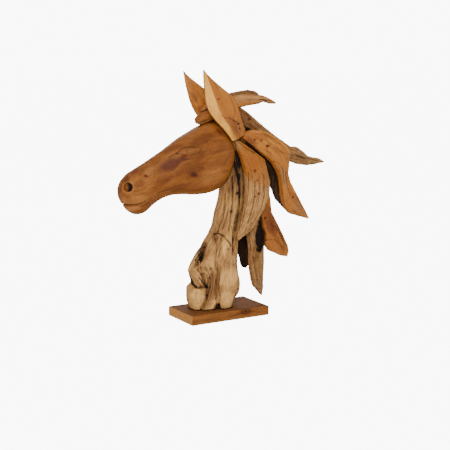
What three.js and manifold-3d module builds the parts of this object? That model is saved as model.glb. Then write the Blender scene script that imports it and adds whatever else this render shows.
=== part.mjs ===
// Horse head sculpture, assembled from pieces of weathered and sawn teak on a plain board.
//
// Units are millimetres, +Z is up. The origin is the centre of the board's underside,
// X runs along the board and the horse looks along -X, so its left side faces -Y.
// The figure itself is laid out in parts: a hundred parts are the height from the top
// of the board to the tip of the left ear, as a carver would step it off with dividers.

import * as THREE from "three";
import { mergeVertices } from "three/addons/utils/BufferGeometryUtils.js";
import Module from "manifold-3d";

const wasm = await Module();
wasm.setup();

// Driving dimensions
const FIGURE_HEIGHT = 722; // board top to left ear tip
const BOARD_LENGTH = 270;
const BOARD_WIDTH = 152;
const BOARD_THICKNESS = 30;
const BOARD_ARRIS = 1.5; // planed off every edge of the board
const JOINT_GAP = 0.5; // glue line left between two pieces that meet
const LIP_GROOVE_DEPTH = 6;
const LIP_GROOVE_HEIGHT = 4.5;
const NOSTRIL_RADIUS = 11.5;
const NOSTRIL_DEPTH = 13;

const PART = FIGURE_HEIGHT / 100;

// Colours of the woods
const SAWN_TEAK = 0xb9793f;
const PALE_TEAK = 0xcf9a5c;
const CARVED_TEAK = 0xa0652f;
const WEATHERED_TEAK = 0xa68560;
const DARK_HEART = 0x4a3524;

// A point of the figure, given in parts, as millimetres from the middle of its foot.
const figurePoint = (x, y, z) => new THREE.Vector3(x, y, z).multiplyScalar(PART);

// A closed three.js geometry as a solid, with its faces turned outwards.
function solidFrom(geometry) {
  const plain = geometry.clone();
  plain.deleteAttribute("normal");
  plain.deleteAttribute("uv");
  const merged = mergeVertices(plain, 1e-4);
  const corners = new Uint32Array(merged.index.array);
  const vertProperties = new Float32Array(merged.attributes.position.array);
  const make = () => new wasm.Manifold(new wasm.Mesh({ numProp: 3, vertProperties, triVerts: corners }));
  const solid = make();
  if (solid.volume() >= 0) return solid;
  for (let i = 0; i < corners.length; i += 3) {
    [corners[i], corners[i + 1]] = [corners[i + 1], corners[i]];
  }
  return make();
}

// A skin stretched over rings of equal point counts, with both ends closed by a fan.
function loft(rings) {
  const around = rings[0].length;
  const positions = [];
  const index = [];
  rings.flat().forEach((p) => positions.push(p.x, p.y, p.z));
  for (let i = 0; i < rings.length - 1; i++) {
    for (let j = 0; j < around; j++) {
      const next = (j + 1) % around;
      const a = i * around + j;
      const b = i * around + next;
      const c = (i + 1) * around + next;
      const d = (i + 1) * around + j;
      index.push(a, b, c, a, c, d);
    }
  }
  [0, rings.length - 1].forEach((end) => {
    const centre = new THREE.Vector3();
    rings[end].forEach((p) => centre.addScaledVector(p, 1 / around));
    const hub = positions.length / 3;
    positions.push(centre.x, centre.y, centre.z);
    for (let j = 0; j < around; j++) {
      const a = end * around + j;
      const b = end * around + ((j + 1) % around);
      index.push(...(end === 0 ? [hub, b, a] : [hub, a, b]));
    }
  });
  const geometry = new THREE.BufferGeometry();
  geometry.setAttribute("position", new THREE.Float32BufferAttribute(positions, 3));
  geometry.setIndex(index);
  return solidFrom(geometry);
}

// The rings with the first and last moved outwards, for a piece that is swollen by grow.
function withLongerEnds(rings, grow) {
  if (grow === 0) return rings;
  const moved = (ring, inner) => {
    const away = ring[0].clone().sub(inner[0]).normalize().multiplyScalar(grow);
    return ring.map((p) => p.clone().add(away));
  };
  const last = rings.length - 1;
  return [moved(rings[0], rings[1]), ...rings.slice(1, last), moved(rings[last], rings[last - 1])];
}

const signedPower = (value, power) => Math.sign(value) * Math.abs(value) ** power;

// A smooth curve through the rows of a table.
function curveThrough(rows) {
  const points = rows.map((row) => new THREE.Vector3(...row));
  return new THREE.CatmullRomCurve3(points, false, "centripetal");
}

// Cross sections, as unit points: across the piece, and out of the plane of the profile.
// square runs from 2 for a round branch to 6 for a sawn slab. Furrows run along the grain.
function roundedSection({ square = 2.6, around = 12, furrows = 0, depth = 0, twist = 0 }) {
  return (t) =>
    Array.from({ length: around }, (_, j) => {
      const angle = (2 * Math.PI * j) / around;
      const cut = 1 - depth * (0.5 - 0.5 * Math.cos(furrows * angle + twist * t));
      const across = signedPower(Math.cos(angle), 2 / square) * cut;
      const out = signedPower(Math.sin(angle), 2 / square) * cut;
      return [across, out];
    });
}

// An ear's section has a broad bevel along its front edge. side is -1 for the left ear.
const earSection = (side) => () =>
  [
    [-1.0, -0.2],
    [-0.93, -0.75],
    [0.84, -1.0],
    [1.0, -0.5],
    [1.0, 0.45],
    [0.86, 0.85],
    [-0.28, 1.0],
    [-0.42, 0.95],
    [-0.97, 0.1],
  ].map(([across, out]) => [across, side * out]);

// One length of wood. Each station gives its two edges in the plane of the horse's
// profile, then how far it stands off that plane and its half thickness, all in parts:
// [edge x, edge z, other edge x, other edge z, offset y, half thickness].
// grow swells the whole piece by so many millimetres, to cut room for it in its neighbours.
function billet({ stations, section, along = 1, ...shape }, grow = 0) {
  const outline = section ?? roundedSection(shape);
  const first = curveThrough(stations.map(([x, z, , , y]) => [x, y, z]));
  const second = curveThrough(stations.map(([, , x, z, y]) => [x, y, z]));
  const thickness = curveThrough(stations.map((station, i) => [station[5], i, 0]));
  const steps = (stations.length - 1) * along;
  const rings = [];
  for (let i = 0; i <= steps; i++) {
    const t = i / steps;
    const a = figurePoint(...first.getPoint(t).toArray());
    const b = figurePoint(...second.getPoint(t).toArray());
    const centre = a.clone().lerp(b, 0.5);
    const half = b.clone().sub(a).multiplyScalar(0.5);
    const halfWidth = half.length() + grow;
    const halfDepth = thickness.getPoint(t).x * PART + grow;
    half.normalize();
    const place = ([across, out]) =>
      centre.clone().addScaledVector(half, across * halfWidth).add(new THREE.Vector3(0, out * halfDepth, 0));
    rings.push(outline(t).map(place));
  }
  return loft(withLongerEnds(rings, grow));
}

// An ellipsoid for bosses and gouges: its place and its three radii in parts, its lean in
// the plane of the profile (the top goes forwards) and its turn as seen from above.
function ellipsoid({ at, radii: [rx, ry, rz], lean = 0, turn = 0 }) {
  const shape = new THREE.SphereGeometry(PART, 10, 7);
  shape.scale(rx, ry, rz);
  shape.rotateY(THREE.MathUtils.degToRad(-lean));
  shape.rotateZ(THREE.MathUtils.degToRad(turn));
  const place = figurePoint(...at);
  shape.translate(place.x, place.y, place.z);
  return solidFrom(shape);
}

const mirrored = ({ at: [x, y, z], turn = 0, ...rest }) => ({ ...rest, at: [x, -y, z], turn: -turn });

// The board
function board() {
  const halfLength = BOARD_LENGTH / 2 - BOARD_ARRIS;
  const halfWidth = BOARD_WIDTH / 2 - BOARD_ARRIS;
  const outline = new THREE.Shape([
    new THREE.Vector2(-halfLength, -halfWidth),
    new THREE.Vector2(halfLength, -halfWidth),
    new THREE.Vector2(halfLength, halfWidth),
    new THREE.Vector2(-halfLength, halfWidth),
  ]);
  const shape = new THREE.ExtrudeGeometry(outline, {
    depth: BOARD_THICKNESS - 2 * BOARD_ARRIS,
    bevelSize: BOARD_ARRIS,
    bevelThickness: BOARD_ARRIS,
    bevelSegments: 1,
  });
  shape.translate(0, 0, BOARD_ARRIS);
  return solidFrom(shape);
}

// The carved head. Each row runs across the head from the brow line to the jaw line:
// [top x, top z, bottom x, bottom z, half width, narrowing above, narrowing below].
const headRows = [
  [-45.6, 52.6, -45.7, 50.6, 1.4, 0.1, 0.1],
  [-45.2, 54.8, -45.2, 48.7, 2.9, 0.1, 0.1],
  [-44.1, 57.0, -43.8, 46.2, 3.9, 0.12, 0.2],
  [-42.2, 59.0, -42.0, 44.0, 4.5, 0.15, 0.25],
  [-38.8, 60.9, -38.8, 42.5, 4.7, 0.2, 0.3],
  [-35.0, 62.9, -35.0, 43.0, 4.5, 0.22, 0.35],
  [-31.0, 65.1, -31.0, 45.9, 4.5, 0.22, 0.35],
  [-27.0, 67.3, -27.2, 48.0, 5.1, 0.2, 0.3],
  [-23.0, 69.7, -22.8, 49.2, 6.1, 0.15, 0.25],
  [-19.0, 72.2, -17.6, 49.2, 7.0, 0.1, 0.22],
  [-14.5, 74.5, -12.0, 48.7, 7.6, 0.06, 0.2],
  [-9.5, 76.9, -6.0, 49.0, 7.9, 0.05, 0.2],
  [-5.0, 78.3, -0.7, 50.7, 7.9, 0.05, 0.16],
  [-1.2, 77.0, 2.7, 54.4, 7.6, 0.05, 0.12],
  [2.0, 73.6, 4.7, 59.8, 6.9, 0.05, 0.08],
  [4.0, 70.4, 5.2, 65.0, 5.6, 0.05, 0.05],
];
const HEAD_AROUND = 20;
const HEAD_STEPS = 2; // rings to a row
const HEAD_FULLNESS = 0.72; // 1 for an oval section, less for a squarer one

function headBody(grow = 0) {
  const top = curveThrough(headRows.map(([x, z]) => [x, 0, z]));
  const bottom = curveThrough(headRows.map(([, , x, z]) => [x, 0, z]));
  const girth = curveThrough(headRows.map(([, , , , width, above, below]) => [width, above, below]));
  const steps = (headRows.length - 1) * HEAD_STEPS;
  const rings = [];
  for (let i = 0; i <= steps; i++) {
    const t = i / steps;
    const [width, above, below] = girth.getPoint(t).toArray();
    const brow = figurePoint(...top.getPoint(t).toArray());
    const jaw = figurePoint(...bottom.getPoint(t).toArray());
    const middle = brow.clone().lerp(jaw, 0.5);
    const up = brow.clone().sub(jaw).multiplyScalar(0.5);
    const halfHeight = up.length() + grow;
    up.normalize();
    const ring = [];
    for (let j = 0; j < HEAD_AROUND; j++) {
      const angle = (2 * Math.PI * j) / HEAD_AROUND;
      const rise = Math.cos(angle);
      const narrowed = 1 - (rise > 0 ? above : below) * rise * rise;
      const out = signedPower(Math.sin(angle), HEAD_FULLNESS) * (width * PART * narrowed + grow);
      ring.push(middle.clone().addScaledVector(up, rise * halfHeight).add(new THREE.Vector3(0, out, 0)));
    }
    rings.push(ring);
  }
  return loft(withLongerEnds(rings, grow));
}

// Carving on the left side of the head, repeated on the right.
const eyeSocket = { at: [-16.9, -7.2, 67.4], radii: [5.0, 0.95, 2.5], lean: 8, turn: 12 };
const eyeball = { at: [-16.9, -5.85, 67.4], radii: [3.9, 0.95, 1.7], lean: 8, turn: 12 };
const mouthLine = [
  [-48.0, 46.9],
  [-44.0, 46.9],
  [-41.0, 46.8],
  [-38.0, 47.2],
  [-35.8, 48.3],
];

// The slit between the lips: a curved blade through the muzzle that spares its core.
function lipGroove() {
  const line = new THREE.SplineCurve(mouthLine.map(([x, z]) => new THREE.Vector2(x * PART, z * PART)));
  const points = line.getPoints(6);
  const edge = (sign) =>
    points.map((p, i) => {
      const taper = 1 - (0.75 * i) / (points.length - 1);
      return new THREE.Vector2(p.x, p.y + (sign * taper * LIP_GROOVE_HEIGHT) / 2);
    });
  const reach = 20 * PART;
  const outline = new THREE.Shape([...edge(-1), ...edge(1).reverse()]);
  const blade = new THREE.ExtrudeGeometry(outline, { depth: reach, bevelEnabled: false });
  blade.translate(0, 0, -reach / 2);
  blade.rotateX(Math.PI / 2);
  return solidFrom(blade).subtract(headBody(-LIP_GROOVE_DEPTH));
}

function nostril(side) {
  const hole = new THREE.SphereGeometry(1, 12, 6);
  hole.scale(NOSTRIL_RADIUS, NOSTRIL_DEPTH, NOSTRIL_RADIUS);
  hole.rotateZ(side * THREE.MathUtils.degToRad(-28));
  const place = figurePoint(-43.8, side * -3.7, 54.2);
  hole.translate(place.x, place.y, place.z);
  return solidFrom(hole);
}

function head(grow = 0) {
  const body = headBody(grow);
  if (grow > 0) return body;
  let solid = body;
  [eyeSocket, mirrored(eyeSocket)].forEach((hollow) => {
    solid = solid.subtract(ellipsoid(hollow));
  });
  [eyeball, mirrored(eyeball)].forEach((ball) => {
    solid = solid.add(ellipsoid(ball));
  });
  return solid.subtract(lipGroove()).subtract(nostril(1)).subtract(nostril(-1));
}

// The neck: one gnarled root, wide at its foot, with strands, hollows and clefts.
const neckTrunk = {
  stations: [
    [-11.8, -3.0, 5.6, -3.0, 0.4, 5.2],
    [-12.4, 1.0, 6.6, 1.5, 0.3, 5.6],
    [-12.8, 6.0, 10.2, 5.6, 0.1, 6.3],
    [-13.2, 11.0, 10.0, 10.5, 0, 6.7],
    [-14.9, 16.2, 9.0, 15.8, 0, 6.8],
    [-12.4, 20.8, 8.9, 20.6, 0, 6.6],
    [-8.6, 25.6, 8.8, 25.2, 0, 6.3],
    [-5.4, 30.0, 8.9, 29.8, 0, 6.1],
    [-2.6, 34.4, 9.2, 34.6, 0, 6.0],
    [-1.5, 39.6, 10.2, 39.8, 0, 5.9],
    [0.1, 44.6, 11.4, 45.0, 0, 5.7],
    [1.1, 50.5, 12.6, 51.0, 0, 5.5],
    [1.4, 57.0, 13.4, 57.5, 0, 5.3],
    [1.6, 64.0, 13.7, 64.5, 0, 5.1],
    [1.0, 70.5, 13.4, 71.0, 0, 4.9],
    [0.4, 76.5, 11.6, 77.0, 0, 4.4],
    [1.2, 81.0, 9.4, 81.0, 0, 3.6],
  ],
  square: 2.5,
  around: 20,
  along: 2,
  furrows: 7,
  depth: 0.08,
  twist: 2.6,
};
const neckStrands = {
  frontBlock: {
    square: 3.4,
    around: 12,
    stations: [
      [-12.4, -3.0, -8.0, -3.0, 1.0, 3.8],
      [-13.4, 1.2, -7.6, 1.2, 0.8, 4.2],
      [-14.6, 5.2, -7.4, 5.2, 0.4, 4.6],
      [-14.5, 9.2, -8.4, 9.6, 0.2, 4.6],
      [-12.4, 12.0, -9.4, 12.2, 0.2, 3.2],
    ],
  },
  beak: {
    square: 2.4,
    around: 10,
    stations: [
      [-11.2, 21.8, -13.0, 21.0, -3.2, 1.4],
      [-11.4, 18.6, -14.5, 17.0, -3.7, 2.0],
      [-10.5, 15.2, -13.5, 13.9, -4.2, 2.2],
      [-9.7, 12.2, -11.9, 11.0, -4.4, 1.8],
      [-9.6, 10.6, -10.6, 10.2, -4.3, 1.0],
    ],
  },
  swirl: {
    square: 2.4,
    around: 10,
    stations: [
      [-10.2, 22.0, -6.2, 21.6, -3.8, 1.8],
      [-9.4, 16.5, -5.4, 15.5, -4.7, 2.2],
      [-8.4, 11.5, -5.2, 10.5, -4.8, 2.2],
      [-8.4, 6.8, -5.8, 6.2, -4.3, 2.0],
      [-9.6, 1.5, -7.2, 1.0, -3.6, 1.6],
      [-10.0, -3.0, -7.8, -3.0, -3.3, 1.4],
    ],
  },
  archedStrand: {
    square: 2.6,
    around: 12,
    stations: [
      [-3.4, 32.0, 1.4, 30.8, -4.4, 1.5],
      [-5.2, 27.0, 2.4, 26.0, -4.7, 2.1],
      [-5.2, 22.0, 2.0, 21.6, -4.9, 2.2],
      [-4.6, 16.6, 1.2, 16.6, -4.6, 1.6],
    ],
  },
  smoothLobe: {
    square: 3.2,
    around: 14,
    stations: [
      [-3.4, -3.0, 3.2, -3.0, -3.3, 2.9],
      [-3.6, 2.0, 3.8, 2.0, -3.6, 3.2],
      [-3.4, 7.0, 5.9, 6.6, -4.0, 3.5],
      [-3.6, 13.0, 6.5, 12.6, -4.1, 3.6],
      [-3.3, 17.6, 5.8, 17.6, -4.0, 3.4],
      [-1.6, 21.4, 3.6, 21.8, -3.6, 2.6],
    ],
  },
  chip: {
    square: 2.4,
    around: 8,
    stations: [
      [-7.2, -3.0, -4.2, -3.0, -4.0, 1.3],
      [-6.6, 2.0, -4.3, 2.4, -4.1, 1.3],
      [-5.4, 4.6, -4.4, 4.9, -4.1, 0.8],
    ],
  },
};
const neckGouges = {
  frontHollow: { at: [-9.2, -3.4, 24.6], radii: [1.5, 2.2, 5.6], lean: -25, turn: -35 },
  notchUnderBeak: { at: [-14.2, -2.8, 12.9], radii: [2.4, 3.4, 1.3], lean: -35 },
  cleft: { at: [-4.9, -7.0, 9.6], radii: [1.1, 2.4, 9.6], lean: -10 },
  archOnBoard: { at: [-3.6, -5.6, 0.0], radii: [0.8, 2.6, 2.6] },
  furrowUpSide: { at: [5.6, -6.4, 38.0], radii: [0.8, 1.7, 13.0], lean: -10 },
  backCleft: { at: [-4.6, 7.6, 17.0], radii: [1.5, 2.4, 12.0], lean: -12 },
};

// A box that reaches past the foot on every side, below the top of the board.
function belowFoot() {
  const reach = 60 * PART;
  const shape = new THREE.BoxGeometry(reach, reach, reach);
  shape.translate(0, 0, -reach / 2);
  return solidFrom(shape);
}

function neck(grow = 0) {
  let solid = billet(neckTrunk, grow);
  Object.values(neckStrands).forEach((strand) => {
    solid = solid.add(billet(strand, grow));
  });
  if (grow > 0) return solid;
  Object.values(neckGouges).forEach((gouge) => {
    solid = solid.subtract(ellipsoid(gouge));
  });
  return solid.subtract(belowFoot());
}

// Ears and locks of mane, in the order in which they are fitted.
const locks = {
  left_ear: {
    wood: PALE_TEAK,
    section: earSection(-1),
    along: 2,
    stations: [
      [2.5, 70.7, 7.8, 73.3, -7.1, 1.7],
      [0.6, 73.3, 7.5, 75.4, -7.1, 1.9],
      [-2.1, 76.3, 6.8, 78.2, -7.1, 2.1],
      [-5.7, 79.7, 5.6, 81.4, -7.1, 2.2],
      [-8.5, 83.4, 4.6, 84.9, -7.1, 2.2],
      [-9.9, 87.2, 2.8, 88.4, -7.1, 2.1],
      [-10.4, 91.0, -1.2, 91.6, -7.1, 1.9],
      [-10.7, 94.6, -5.8, 95.0, -7.1, 1.6],
      [-11.0, 98.0, -9.5, 98.1, -7.1, 1.1],
      [-11.2, 100, -10.9, 100, -7.1, 0.6],
    ],
  },
  right_ear: {
    wood: CARVED_TEAK,
    section: earSection(1),
    along: 2,
    stations: [
      [1.4, 70.4, 6.4, 71.0, 6.3, 1.7],
      [-1.8, 75.3, 6.8, 75.5, 6.4, 2.0],
      [-5.2, 78.8, 4.8, 78.9, 6.4, 2.1],
      [-8.1, 82.4, 3.4, 82.7, 6.4, 2.1],
      [-10.2, 86.6, 1.2, 87.0, 6.4, 2.0],
      [-11.5, 90.8, -2.2, 91.0, 6.4, 1.7],
      [-12.5, 94.6, -7.2, 94.6, 6.4, 1.4],
      [-12.9, 97.6, -11.3, 97.6, 6.4, 0.9],
      [-13.1, 99.3, -12.8, 99.3, 6.4, 0.5],
    ],
  },
  // broad lock down the left side of the neck, sawn above and weathered below
  left_cheek_lock: {
    wood: WEATHERED_TEAK,
    square: 3,
    around: 14,
    furrows: 5,
    depth: 0.05,
    twist: 1.2,
    stations: [
      [3.7, 70.6, 5.8, 70.8, -7.2, 1.6],
      [4.6, 67.4, 11.7, 66.9, -7.2, 2.2],
      [6.4, 63.0, 18.0, 62.6, -7.2, 2.4],
      [7.9, 58.3, 19.4, 58.0, -7.1, 2.5],
      [8.6, 53.5, 21.2, 52.6, -7.0, 2.5],
      [8.5, 48.6, 20.8, 47.6, -6.9, 2.5],
      [7.8, 42.4, 18.6, 41.8, -6.8, 2.4],
      [6.4, 37.9, 15.3, 37.0, -6.7, 2.2],
      [5.5, 34.2, 12.1, 33.0, -6.6, 1.9],
      [4.9, 31.0, 8.5, 30.3, -6.4, 1.5],
      [5.0, 29.0, 5.9, 28.6, -6.2, 0.9],
    ],
  },
  // sawn, forked piece behind the left ear
  fork_lock: {
    wood: SAWN_TEAK,
    square: 3.8,
    around: 14,
    stations: [
      [8.4, 73.9, 7.6, 70.5, -4.9, 2.0],
      [13.1, 75.0, 10.9, 68.5, -5.0, 2.3],
      [18.3, 74.5, 15.3, 65.9, -5.0, 2.4],
      [23.3, 72.5, 19.9, 63.0, -5.0, 2.4],
      [28.2, 69.6, 23.2, 60.2, -5.0, 2.4],
      [32.0, 65.8, 25.5, 56.9, -5.0, 2.4],
      [31.5, 60.4, 26.8, 54.0, -5.1, 2.3],
      [30.9, 56.0, 27.4, 50.1, -5.2, 2.2],
      [32.2, 52.1, 27.8, 46.1, -5.3, 2.1],
      [35.0, 47.6, 29.2, 40.8, -5.5, 1.9],
      [38.3, 42.0, 32.2, 38.0, -5.7, 1.6],
      [40.9, 37.6, 38.0, 36.1, -5.9, 1.2],
      [42.2, 35.3, 41.8, 35.0, -6.0, 0.6],
    ],
  },
  // long crest that ends in a point
  crest_lock: {
    wood: WEATHERED_TEAK,
    square: 2.6,
    around: 14,
    furrows: 5,
    depth: 0.09,
    twist: 2,
    stations: [
      [4.2, 86.0, 5.0, 76.6, 1.1, 2.0],
      [10.1, 85.2, 9.0, 73.8, 1.1, 2.2],
      [14.6, 82.3, 13.0, 72.6, 1.1, 2.3],
      [21.0, 77.2, 18.6, 71.0, 1.1, 2.3],
      [27.0, 72.8, 25.3, 66.5, 1.1, 2.2],
      [32.6, 69.2, 31.0, 62.3, 1.2, 2.2],
      [36.8, 66.8, 36.0, 59.6, 1.3, 2.1],
      [40.2, 66.5, 39.5, 58.2, 1.5, 2.0],
      [42.7, 65.0, 42.8, 57.5, 1.7, 1.8],
      [46.7, 62.0, 46.5, 57.3, 2.0, 1.6],
      [51.8, 60.9, 51.5, 57.6, 2.3, 1.3],
      [56.3, 59.0, 56.1, 58.3, 2.6, 0.7],
    ],
  },
  // two strands of the tuft over the poll
  poll_lock_near: {
    wood: SAWN_TEAK,
    square: 2.8,
    around: 12,
    furrows: 4,
    depth: 0.08,
    stations: [
      [-1.6, 86.2, 1.4, 79.6, -1.4, 1.9],
      [2.3, 88.6, 4.3, 82.4, -1.2, 2.0],
      [8.0, 89.4, 8.9, 83.8, -1.0, 2.0],
      [13.6, 89.8, 13.9, 84.5, -0.9, 2.0],
      [18.3, 89.5, 18.9, 85.2, -1.0, 1.9],
      [20.9, 89.0, 21.1, 86.1, -1.2, 1.7],
      [24.0, 87.8, 23.7, 85.3, -1.4, 1.4],
      [27.2, 86.2, 27.0, 85.1, -1.7, 0.8],
    ],
  },
  poll_lock_far: {
    wood: WEATHERED_TEAK,
    square: 2.6,
    around: 12,
    furrows: 4,
    depth: 0.08,
    stations: [
      [0.6, 88.2, 2.6, 81.4, 2.2, 1.9],
      [4.6, 89.8, 5.8, 84.2, 2.2, 2.0],
      [9.6, 90.9, 10.6, 85.8, 2.2, 2.0],
      [15.5, 91.5, 15.9, 87.2, 2.2, 1.9],
      [19.0, 91.0, 19.2, 87.8, 2.3, 1.7],
      [20.9, 89.8, 20.8, 88.6, 2.4, 1.0],
    ],
  },
  // sticks that lie forward over the brow
  forelock_lower: {
    wood: SAWN_TEAK,
    square: 3.6,
    around: 12,
    stations: [
      [2.4, 85.2, 3.9, 81.0, 0.9, 1.9],
      [-2.7, 84.1, -1.6, 79.4, 0.9, 2.1],
      [-6.2, 83.0, -5.2, 78.2, 0.8, 2.1],
      [-9.4, 81.3, -8.2, 77.2, 0.7, 2.0],
      [-10.7, 80.0, -10.0, 77.8, 0.7, 1.4],
    ],
  },
  forelock_upper: {
    wood: PALE_TEAK,
    square: 2.8,
    around: 12,
    stations: [
      [1.6, 88.4, 2.6, 84.6, 2.6, 1.7],
      [-2.0, 87.4, -1.1, 83.4, 2.6, 1.9],
      [-5.2, 85.6, -4.4, 82.2, 2.5, 1.7],
      [-6.9, 83.6, -6.4, 82.2, 2.4, 1.1],
    ],
  },
  // dark strip behind the forked piece
  nape_lock: {
    wood: DARK_HEART,
    square: 2.6,
    around: 12,
    furrows: 4,
    depth: 0.1,
    stations: [
      [10.4, 69.6, 14.4, 74.6, -1.5, 1.9],
      [12.4, 66.4, 19.6, 72.6, -1.4, 2.2],
      [15.4, 62.8, 26.0, 65.4, -1.3, 2.4],
      [19.2, 58.8, 29.0, 57.4, -1.2, 2.4],
      [22.6, 54.4, 31.0, 51.6, -1.1, 2.4],
      [25.3, 49.2, 32.2, 46.2, -1.1, 2.2],
      [27.4, 44.3, 33.6, 42.2, -1.1, 1.9],
      [31.0, 40.6, 34.8, 39.5, -1.1, 1.5],
      [34.0, 37.6, 35.0, 37.2, -1.1, 0.8],
    ],
  },
  // sawn piece shaped like a boot, low on the back of the neck
  boot_lock: {
    wood: SAWN_TEAK,
    square: 3.4,
    around: 14,
    stations: [
      [11.4, 61.0, 16.2, 60.4, -1.6, 1.9],
      [13.6, 56.0, 19.6, 55.2, -1.7, 2.1],
      [16.8, 51.0, 22.9, 50.4, -1.7, 2.2],
      [17.8, 45.5, 24.3, 44.8, -1.7, 2.2],
      [19.0, 39.3, 25.0, 38.9, -1.7, 2.2],
      [20.4, 33.7, 28.5, 32.9, -1.8, 2.2],
      [21.8, 29.1, 31.4, 27.6, -1.9, 2.2],
      [21.3, 24.8, 33.7, 23.2, -2.0, 2.1],
      [23.6, 22.0, 34.1, 20.8, -2.1, 1.9],
      [29.8, 19.2, 33.2, 18.4, -2.2, 1.4],
    ],
  },
  // long piece that hangs behind the neck to a slanting saw cut
  hanging_lock: {
    wood: WEATHERED_TEAK,
    square: 2.8,
    around: 14,
    furrows: 4,
    depth: 0.07,
    stations: [
      [9.8, 50.0, 15.6, 50.6, -1.2, 2.0],
      [10.6, 42.0, 17.6, 43.0, -1.2, 2.2],
      [11.8, 35.0, 20.8, 36.0, -1.1, 2.3],
      [13.2, 29.0, 22.0, 29.8, -1.1, 2.4],
      [14.1, 23.6, 22.1, 23.7, -1.0, 2.4],
      [14.3, 19.2, 22.0, 18.4, -0.9, 2.3],
      [14.6, 14.7, 22.0, 14.0, -0.8, 2.2],
      [15.4, 10.2, 22.0, 9.5, -0.7, 2.1],
      [16.6, 6.6, 21.9, 5.4, -0.6, 1.9],
      [19.4, 4.0, 21.5, 3.2, -0.5, 1.4],
      [21.0, 2.2, 21.4, 2.0, -0.5, 0.7],
    ],
    gouges: [{ at: [18.7, -3.5, 28.8], radii: [2.6, 3.6, 7.2], lean: -5 }],
  },
  // lock on the right of the neck, the fellow of the one on the left
  right_cheek_lock: {
    wood: DARK_HEART,
    square: 2.8,
    around: 14,
    furrows: 5,
    depth: 0.08,
    stations: [
      [4.6, 71.0, 12.0, 71.0, 5.9, 1.9],
      [5.4, 64.0, 15.4, 64.0, 6.2, 2.3],
      [6.6, 55.0, 17.8, 55.0, 6.2, 2.4],
      [7.4, 45.0, 18.6, 45.0, 6.0, 2.4],
      [8.8, 35.0, 18.9, 34.6, 5.6, 2.3],
      [11.4, 26.0, 18.9, 25.4, 5.2, 2.2],
      [12.8, 19.4, 18.6, 18.4, 5.0, 2.0],
      [13.4, 15.8, 17.9, 14.6, 4.9, 1.7],
      [14.6, 13.9, 16.8, 13.5, 4.8, 1.0],
    ],
  },
};

function lockSolid(lock, grow) {
  let solid = billet(lock, grow);
  if (grow > 0) return solid;
  (lock.gouges ?? []).forEach((gouge) => {
    solid = solid.subtract(ellipsoid(gouge));
  });
  return solid;
}

// The pieces of the figure in the order in which they are set.
const figurePieces = [
  { name: "carved_head", wood: CARVED_TEAK, make: head },
  { name: "neck_root", wood: WEATHERED_TEAK, make: neck },
  ...Object.entries(locks).map(([name, lock]) => ({
    name,
    wood: lock.wood,
    make: (grow = 0) => lockSolid(lock, grow),
  })),
];

// The triangles of the largest separate body in a mesh: chips left by a cut are dropped.
function largestBody(positions, corners) {
  const leader = Array.from({ length: positions.length / 3 }, (_, i) => i);
  const find = (v) => {
    while (leader[v] !== v) v = leader[v] = leader[leader[v]];
    return v;
  };
  for (let i = 0; i < corners.length; i += 3) {
    leader[find(corners[i])] = find(corners[i + 1]);
    leader[find(corners[i + 1])] = find(corners[i + 2]);
  }
  const bodies = new Map();
  const [a, b, c] = [new THREE.Vector3(), new THREE.Vector3(), new THREE.Vector3()];
  for (let i = 0; i < corners.length; i += 3) {
    const body = bodies.get(find(corners[i])) ?? { volume: 0, corners: [] };
    [a, b, c].forEach((p, k) => p.fromArray(positions, 3 * corners[i + k]));
    body.volume += a.dot(b.cross(c)) / 6;
    body.corners.push(corners[i], corners[i + 1], corners[i + 2]);
    bodies.set(find(corners[i]), body);
  }
  return [...bodies.values()].reduce((best, body) => (body.volume > best.volume ? body : best)).corners;
}

function meshOf(solid, name, wood) {
  const { vertProperties, triVerts } = solid.getMesh();
  const geometry = new THREE.BufferGeometry();
  geometry.setAttribute("position", new THREE.BufferAttribute(new Float32Array(vertProperties), 3));
  geometry.setIndex(largestBody(vertProperties, triVerts));
  geometry.computeVertexNormals();
  const material = new THREE.MeshStandardMaterial({ color: wood, roughness: 0.75, metalness: 0 });
  const mesh = new THREE.Mesh(geometry, material);
  mesh.name = name;
  return mesh;
}

// Each piece is cut to fit round all those set before it.
const figure = new THREE.Group();
figure.position.z = BOARD_THICKNESS + JOINT_GAP;
let taken = null;
figurePieces.forEach(({ name, wood, make }) => {
  const solid = taken ? make().subtract(taken) : make();
  figure.add(meshOf(solid, name, wood));
  const room = make(JOINT_GAP);
  taken = taken ? taken.add(room) : room;
});

const sculpture = new THREE.Group();
sculpture.add(meshOf(board(), "base_board", SAWN_TEAK), figure);

export default sculpture;
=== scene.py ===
import itertools
import math

import bpy
import numpy as np
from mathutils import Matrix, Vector
from mathutils.bvhtree import BVHTree


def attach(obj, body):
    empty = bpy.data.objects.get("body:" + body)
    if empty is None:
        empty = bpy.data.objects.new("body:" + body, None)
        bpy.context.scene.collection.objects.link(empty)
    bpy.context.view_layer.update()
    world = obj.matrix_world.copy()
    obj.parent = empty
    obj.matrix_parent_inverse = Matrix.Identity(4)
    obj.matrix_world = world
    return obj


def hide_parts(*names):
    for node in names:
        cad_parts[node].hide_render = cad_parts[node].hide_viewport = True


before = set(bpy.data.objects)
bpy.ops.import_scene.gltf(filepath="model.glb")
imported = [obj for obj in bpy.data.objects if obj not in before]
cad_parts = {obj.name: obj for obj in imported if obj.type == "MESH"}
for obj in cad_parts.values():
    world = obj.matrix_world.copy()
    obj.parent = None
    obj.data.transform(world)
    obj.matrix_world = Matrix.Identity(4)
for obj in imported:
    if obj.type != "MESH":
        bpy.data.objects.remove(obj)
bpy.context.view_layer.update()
print("frame loaded")

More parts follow.
